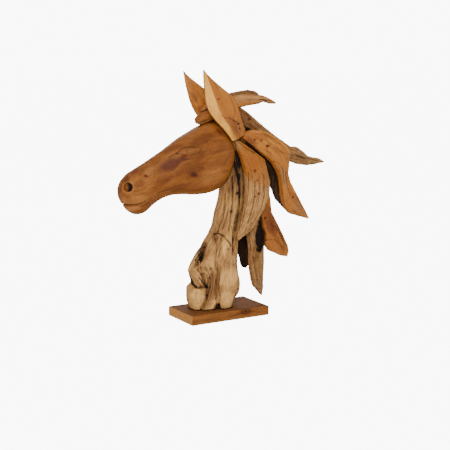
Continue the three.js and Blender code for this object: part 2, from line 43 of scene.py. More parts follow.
# the figure is laid out in parts, a hundred of them from the top of the board to the left ear tip
figure = {
    "part": 0.00722,  # metres
    "foot": 0.0305,  # height of the neck's foot, in metres
    "mostRaised": 0.8,  # mm that relief may stand proud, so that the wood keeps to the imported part
    # seen from the front left quarter, a mark lies this far over in the profile, in parts, for each
    # part that its piece stands off the profile's plane
    "quarterShift": (-0.581, 0.19),
    "quarterSide": (-0.5, -0.86, 0.0),
}


# camera, floor and lights

studio = {
    "cameraAt": (-1.5566, -2.6809, 0.7959),
    "cameraAim": (0.01665, -0.00967, 0.28264),
    "lens": 82.45,
    "filmWidth": 36,
    "floorColour": "f4f3f1",
    "floorReach": 30,
    "skyColour": "ffffff",
    "skyStrength": 0.5,
    # floor and backdrop glow for the camera alone, so that both stay pale and meet without a line
    "paperGlow": 10.0,
    "floorShare": 0.92,
    "backdropShare": 0.93,
    "softboxes": [
        # place, aim, width, watts
        ((-1.6, -2.5, 1.5), (0.0, 0.0, 0.4), 1.2, 70),
        ((2.2, -1.9, 1.0), (0.0, 0.0, 0.35), 1.6, 12),
        ((-0.2, 0.2, 2.7), (0.0, 0.0, 0.3), 1.4, 9),
        ((0.9, 2.5, 1.5), (0.0, 0.0, 0.35), 1.6, 22),
    ],
}


def linear(hexColour):
    channels = [int(hexColour[i:i + 2], 16) / 255 for i in (0, 2, 4)]
    return tuple(c / 12.92 if c <= 0.04045 else ((c + 0.055) / 1.055) ** 2.4 for c in channels) + (1.0,)


# a node given as an input stands for its first output
def addNode(tree, kind, inputs=None, **settings):
    node = tree.nodes.new("ShaderNode" + kind)
    for key, value in settings.items():
        setattr(node, key, value)
    for key, value in (inputs or {}).items():
        if isinstance(value, bpy.types.Node):
            value = value.outputs[0]
        if isinstance(value, bpy.types.NodeSocket):
            tree.links.new(value, node.inputs[key])
        else:
            node.inputs[key].default_value = value
    return node


def aimedAt(thing, place, aim):
    thing.location = place
    thing.rotation_euler = (Vector(aim) - Vector(place)).to_track_quat("-Z", "Y").to_euler()
    bpy.context.scene.collection.objects.link(thing)


def setUpStudio():
    camera = bpy.data.cameras.new("studioCamera")
    camera.lens = studio["lens"]
    camera.sensor_width = studio["filmWidth"]
    seat = bpy.data.objects.new("studioCamera", camera)
    aimedAt(seat, studio["cameraAt"], studio["cameraAim"])
    bpy.context.scene.camera = seat

    for i, (place, aim, width, watts) in enumerate(studio["softboxes"]):
        lamp = bpy.data.lights.new(f"softbox{i}", "AREA")
        lamp.shape = "DISK"
        lamp.size = width
        lamp.energy = watts
        aimedAt(bpy.data.objects.new(f"softbox{i}", lamp), place, aim)

    white = linear(studio["skyColour"])
    sky = bpy.data.worlds.new("paleRoom")
    sky.use_nodes = True
    tree = sky.node_tree
    tree.nodes.clear()
    glow = studio["paperGlow"] * studio["backdropShare"]
    seen = addNode(tree, "LightPath").outputs["Is Camera Ray"]
    roomLight = addNode(tree, "Background", {"Color": white, "Strength": studio["skyStrength"]})
    backdrop = addNode(tree, "Background", {"Color": white, "Strength": glow})
    both = addNode(tree, "MixShader", {0: seen, 1: roomLight, 2: backdrop})
    addNode(tree, "OutputWorld", {"Surface": both})
    bpy.context.scene.world = sky


def layFloor():
    reach = studio["floorReach"]
    corners = [(-reach, -reach, 0), (reach, -reach, 0), (reach, reach, 0), (-reach, reach, 0)]
    mesh = bpy.data.meshes.new("paleFloor")
    mesh.from_pydata(corners, [], [(0, 1, 2, 3)])
    floor = bpy.data.objects.new("paleFloor", mesh)
    bpy.context.scene.collection.objects.link(floor)

    paper = bpy.data.materials.new("mattPaper")
    paper.use_nodes = True
    tree = paper.node_tree
    tree.nodes.clear()
    seen = addNode(tree, "LightPath").outputs["Is Camera Ray"]
    share = addNode(tree, "Math", {0: seen, 1: studio["floorShare"]}, operation="MULTIPLY")
    matt = addNode(tree, "BsdfDiffuse", {"Color": linear(studio["floorColour"])})
    white = linear(studio["skyColour"])
    lit = addNode(tree, "Emission", {"Color": white, "Strength": studio["paperGlow"]})
    both = addNode(tree, "MixShader", {0: share, 1: matt, 2: lit})
    addNode(tree, "OutputMaterial", {"Surface": both})
    mesh.materials.append(paper)


setUpStudio()
layFloor()
print("studio ready")


# teak surfaces

# Two layers on each mesh drive its teak: grain, in mm along, across and off the profile, and tone,
# the shares of aged, dark and red, which also carry painted highlights and painted shade. Each pattern is
# noise on the grain divided by its real size in mm.
def teakSurface(name, look):
    pale, mid, deep, agedPale, agedDeep, reddest, darkest = map(linear, look["colours"])
    figureAlong, figureAcross, ringCount = look["figure"]
    ringDepth, streakDepth, poreDepth = look["depths"]
    material = bpy.data.materials.new(name)
    material.use_nodes = True
    tree = material.node_tree
    shader = tree.nodes["Principled BSDF"]
    grain = addNode(tree, "Attribute", attribute_name="grain").outputs["Vector"]
    tone = addNode(tree, "Attribute", attribute_name="tone").outputs["Vector"]
    aged, dark, red = addNode(tree, "SeparateXYZ", {0: tone}).outputs

    noise = {}
    for pattern, along, across, detail, distortion in [
        ("figure", figureAlong, figureAcross, 3.0, 0.6),
        ("streaks", 46, 2.2, 3.0, 0.0),
        ("pores", 13, 2.4, 3.0, 0.0),  # real pores are 0.3 mm: drawn coarser so that they show
        ("cloud", 60, 34, 2.0, 0.4),
        ("flecks", 38, 15, 3.0, 0.8),
    ]:
        stretch = (1 / along, 1 / across, 1 / across)
        place = addNode(tree, "VectorMath", {0: grain, 1: stretch}, operation="MULTIPLY")
        noise[pattern] = addNode(tree, "TexNoise", {
            "Vector": place, "Scale": 1.0, "Detail": detail, "Roughness": 0.55, "Distortion": distortion,
        }).outputs["Fac"]
    turns = addNode(tree, "Math", {0: noise["figure"], 1: ringCount * 6.283}, operation="MULTIPLY")
    rings = addNode(tree, "Math", {0: turns}, operation="SINE")

    # aged and red wood: what the mesh keeps of them, made patchy
    patchy = addNode(tree, "Math", {0: noise["cloud"], 1: 0.5}, operation="SUBTRACT")
    patchy = addNode(tree, "Math", {0: patchy, 1: look["agedPatch"]}, operation="MULTIPLY")
    agedShare = addNode(tree, "Math", {0: aged, 1: patchy}, operation="ADD")
    flecks = addNode(tree, "MapRange", {0: noise["flecks"], 1: 0.6, 2: 0.78, 4: look["redFlecks"]})
    redShare = addNode(tree, "Math", {0: red, 1: flecks}, operation="ADD")
    streaked = addNode(tree, "MapRange", {0: noise["streaks"], 1: 0.36, 2: 0.64})
    agedColours = {0: streaked, 6: agedDeep, 7: agedPale}
    agedWood = addNode(tree, "Mix", agedColours, data_type="RGBA").outputs[2]

    # colours laid one over the other, each as its value runs from low to high
    colour = deep
    for value, low, high, laid in [
        (noise["figure"], 0.34, 0.66, pale),
        (noise["cloud"], 0.35, 0.7, mid),
        (agedShare, 0.15, 0.85, agedWood),
        (redShare, 0.0, 1.0, reddest),
    ]:
        share = addNode(tree, "MapRange", {0: value, 1: low, 2: high})
        colour = addNode(tree, "Mix", {0: share, 6: colour, 7: laid}, data_type="RGBA").outputs[2]

    # rings, streaks and pores take their depth off it, and dirt, charring and painted shade cover the rest
    shade = 1.0
    for value, low, high, depth in [
        (rings, -1.0, 1.0, ringDepth),
        (noise["streaks"], 0.3, 0.55, streakDepth),
        (noise["pores"], 0.36, 0.46, poreDepth),
    ]:
        kept = addNode(tree, "MapRange", {0: value, 1: low, 2: high, 3: 1 - depth})
        shade = addNode(tree, "Math", {0: shade, 1: kept}, operation="MULTIPLY")
    grey = addNode(tree, "CombineColor", {0: shade, 1: shade, 2: shade})
    lines = addNode(tree, "Mix", {0: 1.0, 6: colour, 7: grey}, data_type="RGBA", blend_type="MULTIPLY")
    darkAndShade = addNode(tree, "MapRange", {0: dark, 1: 0.0, 2: 1.0})
    darkened = {0: darkAndShade, 6: lines.outputs[2], 7: darkest}
    colour = addNode(tree, "Mix", darkened, data_type="RGBA").outputs[2]
    tree.links.new(colour, shader.inputs["Base Color"])

    rough = addNode(tree, "MapRange", {
        0: noise["streaks"], 1: 0.3, 2: 0.7, 3: look["roughness"] + 0.06, 4: look["roughness"] - 0.06,
    })
    rougher = addNode(tree, "Math", {0: dark, 1: 0.12}, operation="MULTIPLY")
    rough = addNode(tree, "Math", {0: rough, 1: rougher}, operation="ADD")
    tree.links.new(rough.outputs[0], shader.inputs["Roughness"])
    pits = addNode(tree, "MapRange", {0: noise["pores"], 1: 0.34, 2: 0.5, 4: 0.5})
    relief = addNode(tree, "Math", {0: noise["streaks"], 1: pits}, operation="ADD")
    bump = addNode(tree, "Bump", {"Strength": look["bump"], "Distance": 0.0008, "Height": relief})
    tree.links.new(bump.outputs[0], shader.inputs["Normal"])
    shader.inputs["IOR"].default_value = 1.5
    shader.inputs["Specular IOR Level"].default_value = look["gloss"]
    return material


# Each teak has its colours (pale, mid, deep, aged pale, aged deep, reddest, darkest), its figure (mm
# along and across, and rings), how deep its rings, streaks and pores go, and how patchy it is.

# teak carved, sanded and oiled: smooth and warm, with faint figure and a soft sheen
sandedTeak = teakSurface("sandedTeak", {
    "colours": ("985818", "834710", "6b370a", "b87434", "9e6127", "652b08", "240f04"),
    "figure": (150, 34, 4), "depths": (0.12, 0.06, 0.1), "agedPatch": 0.6, "redFlecks": 0.45,
    "roughness": 0.56, "bump": 0.12, "gloss": 0.24,
})
# teak sawn thin and sanded: paler than the head, the growth lines show as long figure
earTeak = teakSurface("sawnAndSandedTeak", {
    "colours": ("c17825", "b06519", "965114", "ffb84c", "f6a83e", "74390f", "341a0b"),
    "figure": (170, 16, 4), "depths": (0.1, 0.09, 0.1), "agedPatch": 0.2, "redFlecks": 0.2,
    "roughness": 0.56, "bump": 0.2, "gloss": 0.35,
})
# teak straight from the saw: orange-brown, matt, with short fibres standing up
sawnTeak = teakSurface("sawnTeak", {
    "colours": ("d48b3a", "c0722b", "945218", "dfaa6c", "a86f3b", "74350f", "281208"),
    "figure": (120, 18, 4), "depths": (0.1, 0.16, 0.22), "agedPatch": 0.4, "redFlecks": 0.4,
    "roughness": 0.66, "bump": 0.35, "gloss": 0.25,
})
# one piece sawn above and left in the weather below: orange-tan turning grey-tan
halfWeatheredTeak = teakSurface("halfWeatheredTeak", {
    "colours": ("c9802f", "b66822", "8e4c12", "d6a062", "9d6833", "7a3a12", "20110a"),
    "figure": (110, 12, 3), "depths": (0.12, 0.24, 0.26), "agedPatch": 0.35, "redFlecks": 0.25,
    "roughness": 0.7, "bump": 0.5, "gloss": 0.22,
})
# teak root washed and dried outdoors: grey-tan ridges, brown between them, open checks
rootTeak = teakSurface("weatheredRootTeak", {
    "colours": ("d59f62", "b27b45", "84542a", "ffc974", "e3a259", "8e5838", "1c1009"),
    "figure": (100, 9, 3), "depths": (0.12, 0.24, 0.26), "agedPatch": 0.7, "redFlecks": 0.25,
    "roughness": 0.74, "bump": 0.6, "gloss": 0.2,
})
# branch wood left in the weather: grey-brown and furrowed
weatheredTeak = teakSurface("weatheredBranchTeak", {
    "colours": ("c08448", "a26a37", "774a23", "c69762", "876039", "7c431e", "1a0e06"),
    "figure": (110, 9, 3), "depths": (0.2, 0.36, 0.2), "agedPatch": 0.7, "redFlecks": 0.25,
    "roughness": 0.76, "bump": 0.6, "gloss": 0.2,
})
# heartwood blackened by earth and rain: matt, almost without colour
darkTeak = teakSurface("blackenedTeak", {
    "colours": ("5b3d26", "3f2918", "28180d", "57402c", "2f2014", "4c2b18", "0d0704"),
    "figure": (90, 9, 3), "depths": (0.2, 0.4, 0.2), "agedPatch": 0.6, "redFlecks": 0.2,
    "roughness": 0.82, "bump": 0.6, "gloss": 0.15,
})
# teak plank planed and oiled: even orange-brown with straight grain
planedTeak = teakSurface("planedTeak", {
    "colours": ("a1642a", "8b511f", "6e3d13", "d89448", "b97a3c", "6a3212", "241006"),
    "figure": (220, 12, 4), "depths": (0.12, 0.16, 0.12), "agedPatch": 0.3, "redFlecks": 0.2,
    "roughness": 0.72, "bump": 0.3, "gloss": 0.2,
})
print("teak surfaces ready")


# tools for wood

def pointsOf(mesh, what="co"):
    values = np.empty(len(mesh.vertices) * 3)
    mesh.vertices.foreach_get(what, values)
    return values.reshape(-1, 3)


def movePoints(mesh, points):
    mesh.vertices.foreach_set("co", points.ravel())
    mesh.update()


# the mesh as one even skin of small squares, voxel millimetres wide
def remeshed(mesh, name, voxel):
    piece = bpy.data.objects.new(name, mesh)
    bpy.context.scene.collection.objects.link(piece)
    grid = piece.modifiers.new("evenSkin", "REMESH")
    grid.mode = "VOXEL"
    grid.voxel_size = voxel / 1000
    grid.use_smooth_shade = True
    skin = bpy.data.meshes.new_from_object(piece.evaluated_get(bpy.context.evaluated_depsgraph_get()))
    piece.modifiers.clear()
    piece.data = skin
    return piece


# softens the skin without shrinking it: each round pulls inwards and then pushes outwards
def eased(mesh, rounds):
    ends = np.empty(len(mesh.edges) * 2, dtype=np.int32)
    mesh.edges.foreach_get("vertices", ends)
    first, second = ends.reshape(-1, 2).T
    points = pointsOf(mesh)
    count = np.bincount(first, minlength=len(points)) + np.bincount(second, minlength=len(points))
    for pull in (0.5, -0.52) * rounds:
        total = np.stack([
            np.bincount(first, points[second, axis], len(points))
            + np.bincount(second, points[first, axis], len(points))
            for axis in range(3)
        ], axis=1)
        points = points + pull * (total / count[:, None] - points)
    movePoints(mesh, points)


# smooth random hills, about -1 to 1, one hill to a unit of length
def softNoise(points, seed):
    cell = np.floor(points).astype(np.int64)
    inside = points - cell
    fade = inside ** 3 * (inside * (inside * 6 - 15) + 10)
    total = np.zeros(len(points))
    for corner in itertools.product((0, 1), repeat=3):
        x, y, z = (cell + corner).T
        mixedBits = (x * 374761393 + y * 668265263 + z * 1440662683 + seed * 974634777) & 0xFFFFFFFF
        mixedBits = ((mixedBits ^ (mixedBits >> 13)) * 1274126177) & 0xFFFFFFFF
        mixedBits ^= mixedBits >> 16
        slope = np.stack([((mixedBits >> shift) & 255) / 127.5 - 1 for shift in (0, 8, 16)], axis=1)
        weight = np.prod(np.where(corner, fade, 1 - fade), axis=1)
        total += weight * np.sum(slope * (inside - corner), axis=1)
    return total * 1.3


# noise drawn out along the grain: along and across are the size of its hills in mm
def fibres(grain, along, across, seed, layers=3):
    total = np.zeros(len(grain))
    for layer in range(layers):
        size = np.array([along, across, across]) / 2 ** layer
        total += softNoise(grain / size, seed + layer) / 2 ** layer
    return total


def stepped(values, low, high):
    t = np.clip((values - low) / (high - low), 0, 1)
    return t * t * (3 - 2 * t)


def smoothLine(rows, rounds=3):
    line = np.array(rows, float)
    for _ in range(rounds):
        quarter = line[:-1] * 0.75 + line[1:] * 0.25
        threeQuarter = line[:-1] * 0.25 + line[1:] * 0.75
        middle = np.stack([quarter, threeQuarter], axis=1).reshape(-1, line.shape[1])
        line = np.vstack([line[:1], middle, line[-1:]])
    return line


# where points lie in the plane of the horse's profile, in parts
def profileOf(points):
    return (points[:, [0, 2]] - (0, figure["foot"])) / figure["part"]


# length along the grain, distance across it and off the profile's plane, in mm
def grainOf(points, rows, twist=0.0):
    line = smoothLine(rows) * figure["part"] * 1000
    flat = profileOf(points) * figure["part"] * 1000
    nearest = np.full(len(points), 1e9)
    along = np.zeros(len(points))
    across = np.zeros(len(points))
    walked = 0.0
    for i, (a, b) in enumerate(zip(line[:-1], line[1:])):
        length = np.linalg.norm(b - a)
        heading = (b - a) / length
        low = -1e3 if i == 0 else 0
        high = 1e3 if i == len(line) - 2 else length
        t = np.clip((flat - a) @ heading, low, high)
        away = flat - a - t[:, None] * heading
        distance = np.hypot(*away.T)
        closer = distance < nearest
        nearest = np.where(closer, distance, nearest)
        along = np.where(closer, walked + t, along)
        across = np.where(closer, away @ (-heading[1], heading[0]), across)
        walked += length
    off = points[:, 1] * 1000
    turn = twist * along / 1000
    turned = across * np.cos(turn) - off * np.sin(turn)
    turnedOff = across * np.sin(turn) + off * np.cos(turn)
    return np.stack([along, turned, turnedOff], axis=1)


# the same seen from the front left quarter, for marks laid out on a plane beside the profile's
def quarterViewOf(points, plane):
    off = points[:, 1] / figure["part"] - plane
    return profileOf(points) + off[:, None] * figure["quarterShift"]


# distance in mm from a line that is drawn in parts
def distanceTo(flat, rows):
    line = smoothLine(rows, 2)
    nearest = np.full(len(flat), 1e9)
    for a, b in zip(line[:-1], line[1:]):
        heading = b - a
        t = np.clip((flat - a) @ heading / (heading @ heading), 0, 1)
        nearest = np.minimum(nearest, np.hypot(*(flat - a - t[:, None] * heading).T))
    return nearest * figure["part"] * 1000


# distance from the centre of an oval, 1 at its edge; its radii are in mm
def within(flat, x, z, long, wide, lean=0.0):
    away = (flat - (x, z)) * figure["part"] * 1000
    heading = np.array([math.cos(math.radians(lean)), math.sin(math.radians(lean))])
    return np.hypot(away @ heading / long, away @ (-heading[1], heading[0]) / wide)


def keepLayers(mesh, grain, tone):
    for name, values in (("grain", grain), ("tone", np.clip(tone, -1, 1))):
        layer = mesh.attributes.new(name, "FLOAT_VECTOR", "POINT")
        layer.data.foreach_set("vector", values.astype(np.float32).ravel())


# how close points are to a neighbouring piece, where dust and old glue darken the joint and painted shade
# stands for the shadow between the parts
def jointDirtAndShade(points, node):
    corners, faces = [], []
    for name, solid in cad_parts.items():
        if name != node:
            faces += [[len(corners) + v for v in polygon.vertices] for polygon in solid.data.polygons]
            corners += [v.co.copy() for v in solid.data.vertices]
    neighbours = BVHTree.FromPolygons(corners, faces)
    reach = 0.007
    away = np.array([neighbours.find_nearest(point, reach)[3] or reach for point in points.tolist()])
    return 1 - stepped(away * 1000, 1.2, 6.5)


def dressed(piece, node, surface):
    piece.data.materials.clear()
    piece.data.materials.append(surface)
    for polygon in piece.data.polygons:
        polygon.use_smooth = True
    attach(piece, "root")
    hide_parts(node)


# sizes along and across the grain, in mm
weathering = {
    "hills": (120, 30),
    "checkRuns": (70, 25),  # the places where checks open
    "furrowLevel": 0.6,  # furrows are cut down from here, so that little stands proud
    "raggedEdges": (16, 5),  # of cracks and knots
    "stainAndLightEdges": (30, 12),
}


# hills, furrows and open checks along the grain, in mm, and the tones that go with them, with painted
# shade in the furrows and checks
def furrowed(grain, flat, wood):
    seed = wood["seed"]
    furrowAlong, furrowAcross, furrowDepth = wood["furrows"]
    checkAlong, checkAcross, checkDepth, checkWidth = wood["checks"]
    raggedLength, raggedness = wood.get("raggedEnd", (1, 0))
    along = grain[:, 0]
    fromEnd = np.minimum(along - along.min(), along.max() - along)
    rough = 1 + raggedness * (1 - stepped(fromEnd, 0, raggedLength))
    for x, z, long, wide, lean, share in wood.get("calm", []):
        rough *= 1 - share * (1 - stepped(within(flat, x, z, long, wide, lean), 0.7, 1.15))
    hills = fibres(grain, *weathering["hills"], seed, 2)
    furrows = fibres(grain, furrowAlong, furrowAcross, seed + 5)
    checks = fibres(grain, checkAlong, checkAcross, seed + 11, 2)
    openCheck = 1 - stepped(np.abs(checks), 0.0, checkWidth)
    openCheck *= stepped(fibres(grain, *weathering["checkRuns"], seed + 17, 1), -0.15, 0.25)
    height = wood.get("hillHeight", 0.6) * hills * rough
    height += furrowDepth * (furrows - weathering["furrowLevel"]) * rough
    height -= checkDepth * openCheck * rough
    shown = np.clip(rough, 0, 1)
    tone = np.zeros((len(grain), 3))
    tone[:, 0] = wood.get("aged", 0.0) + 0.25 * furrows
    # painted shade in the open checks and, next, in the furrows
    tone[:, 1] = 0.6 * openCheck * shown * min(1, checkDepth / 2)
    tone[:, 1] += wood.get("furrowShade", 0.25) * stepped(-furrows, 0.15, 0.8) * shown
    return height, tone


# cracks, knots and stains, with lines and patches of painted shade and painted highlight among them, drawn
# on the side that faces the front left quarter
def drawMarks(flat, facing, grain, height, tone, wood):
    seed = wood["seed"]
    ragged = 1 + 0.35 * fibres(grain, *weathering["raggedEdges"], seed + 23, 2)
    for width, depth, shade, rows in wood.get("cracksAndShadeLines", []):
        gape = (1 - stepped(distanceTo(flat, rows) * ragged, width * 0.25, width)) * facing
        height -= depth * gape
        tone[:, 1] += shade * gape
    for x, z, radius, depth, shade in wood.get("knots", []):
        reach = within(flat, x, z, radius * 1.25, radius)
        hole = (1 - stepped(reach * ragged, 0.55, 1.1)) * facing
        height -= depth * hole
        tone[:, 1] += shade * hole
        tone[:, 2] += 0.5 * (1 - stepped(reach, 0.8, 2.2)) * facing
        # the grain parts round a knot
        grain[:, 1] += np.exp(-reach ** 2 / 6) * radius * facing * np.sign(flat[:, 1] - z)
    patch = 0.22 * fibres(grain, *weathering["stainAndLightEdges"], seed + 29, 3)
    for x, z, long, wide, lean, aged, dark, red in wood.get("stainsAndPaintedLight", []):
        share = (1 - stepped(within(flat, x, z, long, wide, lean) + patch, 0.55, 1.15)) * facing
        tone += share[:, None] * np.array([aged, dark, red])


def weather(piece, wood):
    mesh = piece.data
    points, normals = pointsOf(mesh), pointsOf(mesh, "normal")
    grain = grainOf(points, wood["grain"], wood.get("twist", 0.0))
    flat = quarterViewOf(points, wood["marksPlane"])
    height, tone = furrowed(grain, flat, wood)
    # joint dirt and painted shade where the piece meets its neighbours
    tone[:, 1] += wood.get("jointShade", 0.5) * jointDirtAndShade(points, wood["node"])
    facing = stepped(normals @ figure["quarterSide"], -0.05, 0.25)
    drawMarks(flat, facing, grain, height, tone, wood)
    # painted light on the faces that turn to the lamps, where a piece has it
    if "paintedLighting" in wood:
        wood["paintedLighting"](normals, tone)
    raised = np.minimum(height, figure["mostRaised"]) / 1000
    movePoints(mesh, points + normals * raised[:, None])
    keepLayers(mesh, grain, tone)


def makePiece(wood):
    piece = remeshed(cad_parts[wood["node"]].data.copy(), wood["name"], wood["voxel"])
    eased(piece.data, wood["ease"])
    weather(piece, wood)
    dressed(piece, wood["node"], wood["surface"])
    print(wood["name"], len(piece.data.polygons))


# the carved head

head = {
    "name": "carvedHead", "node": "carved_head", "slot": "carved_teak", "surface": sandedTeak,
    "voxel": 1.65, "ease": 4, "seed": 3,
    # top x, top z, bottom x, bottom z, half width, narrowing above, narrowing below
    "rows": [
        [-45.6, 52.6, -45.7, 50.6, 1.4, 0.1, 0.1], [-45.2, 54.8, -45.2, 48.7, 2.9, 0.1, 0.1],
        [-44.1, 57, -43.8, 46.2, 3.9, 0.12, 0.2], [-42.2, 59, -42, 44, 4.5, 0.15, 0.25],
        [-38.8, 60.9, -38.8, 42.5, 4.7, 0.2, 0.3], [-35, 62.9, -35, 43, 4.5, 0.22, 0.35],
        [-31, 65.1, -31, 45.9, 4.5, 0.22, 0.35], [-27, 67.3, -27.2, 48, 5.1, 0.2, 0.3],
        [-23, 69.7, -22.8, 49.2, 6.1, 0.15, 0.25], [-19, 72.2, -17.6, 49.2, 7, 0.1, 0.22],
        [-14.5, 74.5, -12, 48.7, 7.6, 0.06, 0.2], [-9.5, 76.9, -6, 49, 7.9, 0.05, 0.2],
        [-5, 78.3, -0.7, 50.7, 7.9, 0.05, 0.16], [-1.2, 77, 2.7, 54.4, 7.6, 0.05, 0.12],
        [2, 73.6, 4.7, 59.8, 6.9, 0.05, 0.08], [4, 70.4, 5.2, 65, 5.6, 0.05, 0.05],
    ],
    "fullness": 0.72,
    "nostril": {"at": (-43.5, 3.5, 54.2), "radius": 12.5, "depth": 13, "turn": 50, "rimRise": 0.9},
    # the slit's half width and depth in mm at the front, and what is gone of them at the back
    "mouth": {
        "line": [(-48, 46.9), (-44, 46.9), (-41, 46.8), (-38, 47.2), (-35.6, 48.4)],
        "front": -46, "back": -35.5, "width": 3.6, "widthLoss": 1.4, "depth": 7, "depthLoss": 5,
        "shade": 0.62,
    },
    # ovals: x, z, long mm, wide mm, lean
    "eye": {
        "upperLid": [(-22.3, 66.8), (-20.3, 68.5), (-17.7, 69.4), (-14.6, 69.1), (-11.5, 68.5)],
        "lowerLid": [
            (-22.3, 66.8), (-20, 66.2), (-17.3, 65.7), (-14.6, 65.9), (-12.6, 67.3), (-11.5, 68.5),
        ],
        "hollow": (-17, 67.4, 46, 20, 8), "iris": (-16.4, 67.7, 14, 9, 12),
        "hollowDepth": 1.6, "lidDepth": 1.3, "irisDepth": 0.5, "browAbove": 4.5, "browRise": 0.9,
        "bulge": 0.22,
    },
    "grain": [(-47, 51), (-38, 53), (-25, 58), (-12, 63), (6, 66)],
    # width, depth, shade, line: creases and small checks on both sides
    "creases": [
        (2.4, 0.9, 0.5, [(-20.4, 64.7), (-18.1, 64.2), (-15.8, 64.7)]),
        (2.2, 0.8, 0.55, [(-21.8, 66.9), (-23.6, 66.3), (-25.4, 65.2)]),
    ],
    # the same, on the left side only
    "checks": [
        (1.8, 0.6, 0.5, [(-42.3, 52.8), (-39.8, 52.6), (-37.6, 53), (-36.1, 53.8)]),
        (1.8, 0.5, 0.4, [(-30.4, 51.2), (-28.3, 51.4), (-25, 52.3)]),
        (1.6, 0.4, 0.3, [(-7.6, 65.5), (-6.2, 66.2), (-4.9, 67.5)]),
        (1.6, 0.4, 0.3, [(-8.4, 68), (-7.8, 66.2)]),
        (1.6, 0.4, 0.3, [(-10.8, 74.1), (-8.1, 75.4)]),
        (1.6, 0.3, 0.3, [(-26.6, 59), (-23.7, 60.4), (-21.8, 62.6)]),
        (1.6, 0.3, 0.25, [(-18.4, 56.6), (-15.7, 55), (-12.2, 55.8), (-10.2, 58.2)]),
        (1.6, 0.3, 0.25, [(-30.3, 63.1), (-28.4, 65)]),
        (1.5, 0.3, 0.3, [(-32.6, 57), (-31.6, 59.2), (-31.9, 61.6)]),
        (1.5, 0.3, 0.25, [(-30.8, 55.8), (-29.4, 58.4), (-29.6, 61)]),
        (1.5, 0.3, 0.3, [(-13.4, 59.6), (-11, 60.2), (-8, 60)]),
        (1.5, 0.3, 0.3, [(-17.6, 60.2), (-14.4, 60.9), (-12, 60.6)]),
        (1.5, 0.3, 0.3, [(-25, 52.6), (-22, 53.6), (-19.4, 53.9)]),
        (1.5, 0.3, 0.25, [(-20.4, 71.4), (-16.4, 72.6), (-12.6, 72.2)]),
        (1.5, 0.3, 0.25, [(-12, 66), (-9.4, 67.6), (-8.8, 70.2), (-10.4, 72)]),
        (1.5, 0.3, 0.25, [(-3.4, 58.8), (-1.4, 61.4), (-0.6, 64.4)]),
        (1.5, 0.3, 0.3, [(-41, 51), (-38, 51), (-35, 52.2)]),
        (1.5, 0.3, 0.25, [(-22.8, 63), (-20, 62), (-17, 62.2)]),
    ],
    # x, z, long mm, wide mm, lean, pale, dark, red
    "stainsAndPaintedLight": [
        (-25.4, 62.2, 34, 16, 30, -0.3, 0.1, 1), (-20.6, 64.4, 24, 10, 28, -0.3, 0.05, 0.9),
        (-24, 68.4, 42, 8, 16, -0.1, 0.1, 0.45), (-39.6, 60.4, 14, 9, 20, 0, 0.05, 0.6),
        (-15.4, 57.8, 13, 8, -18, 0, 0.5, 0.7), (-15.4, 57.8, 26, 14, -18, 0, 0.05, 0.3),
        (-35.6, 58.2, 8, 5, -15, 0, 0.35, 0.9), (-38.6, 55.2, 22, 14, 20, 0, 0.02, 0.4),
        # (-8.5, 77.6) is a painted highlight along the top edge of the head
        (-2.9, 74.7, 14, 9, -35, 0, 0.22, 0.75), (-8.5, 77.6, 26, 7, 26, 0.5, 0, 0),
        (-43.5, 57, 12, 8, 50, -0.3, 0.25, 0.1), (-7, 57, 46, 30, 20, 0.42, 0, 0.1),
        (-40, 48.5, 40, 18, 10, 0.4, 0, 0), (-34, 60, 22, 12, 28, 0.35, 0, -0.1),
        # (-42, 45.2) is a painted highlight on the lower lip
        (-42, 45.2, 32, 8, 6, 1.3, -0.1, -0.2), (-45.4, 49, 14, 10, 90, 0.35, 0, 0),
        # (-21, 52) is painted shade along the lower jaw
        (-21, 52, 40, 12, 6, -0.1, 0.05, 0), (-16.5, 67.6, 30, 8, 10, 0.2, 0, -0.2),
        (-12, 71.5, 40, 14, 22, -0.2, 0.05, 0.25), (-17, 60.6, 60, 22, 22, -0.25, 0.12, 0.1),
        # (-19, 52.6) is painted shade along the lower jaw
        (-19, 52.6, 70, 16, 4, -0.1, 0.14, 0), (-29, 55, 30, 20, 30, -0.1, 0.06, 0.15),
        (-38, 54, 50, 44, 10, 0.22, 0, 0),
    ],
}


# a smooth curve through the rows, spaced as a carver's spline lies
def curveThrough(rows, steps):
    rows = np.array(rows, float)
    ends = np.vstack([2 * rows[0] - rows[1], rows, 2 * rows[-1] - rows[-2]])
    curve = []
    for t in np.linspace(0, len(rows) - 1, steps + 1):
        i = min(int(t), len(rows) - 2)
        w = t - i
        p0, p1, p2, p3 = ends[i:i + 4]
        d0, d1, d2 = (max(np.linalg.norm(q - p) ** 0.5, 1e-4) for p, q in ((p0, p1), (p1, p2), (p2, p3)))
        m1 = ((p1 - p0) / d0 - (p2 - p0) / (d0 + d1) + (p2 - p1) / d1) * d1
        m2 = ((p2 - p1) / d1 - (p3 - p1) / (d1 + d2) + (p3 - p2) / d2) * d1
        curve.append((2 * w ** 3 - 3 * w ** 2 + 1) * p1 + (w ** 3 - 2 * w ** 2 + w) * m1
                     + (3 * w ** 2 - 2 * w ** 3) * p2 + (w ** 3 - w ** 2) * m2)
    return np.array(curve)


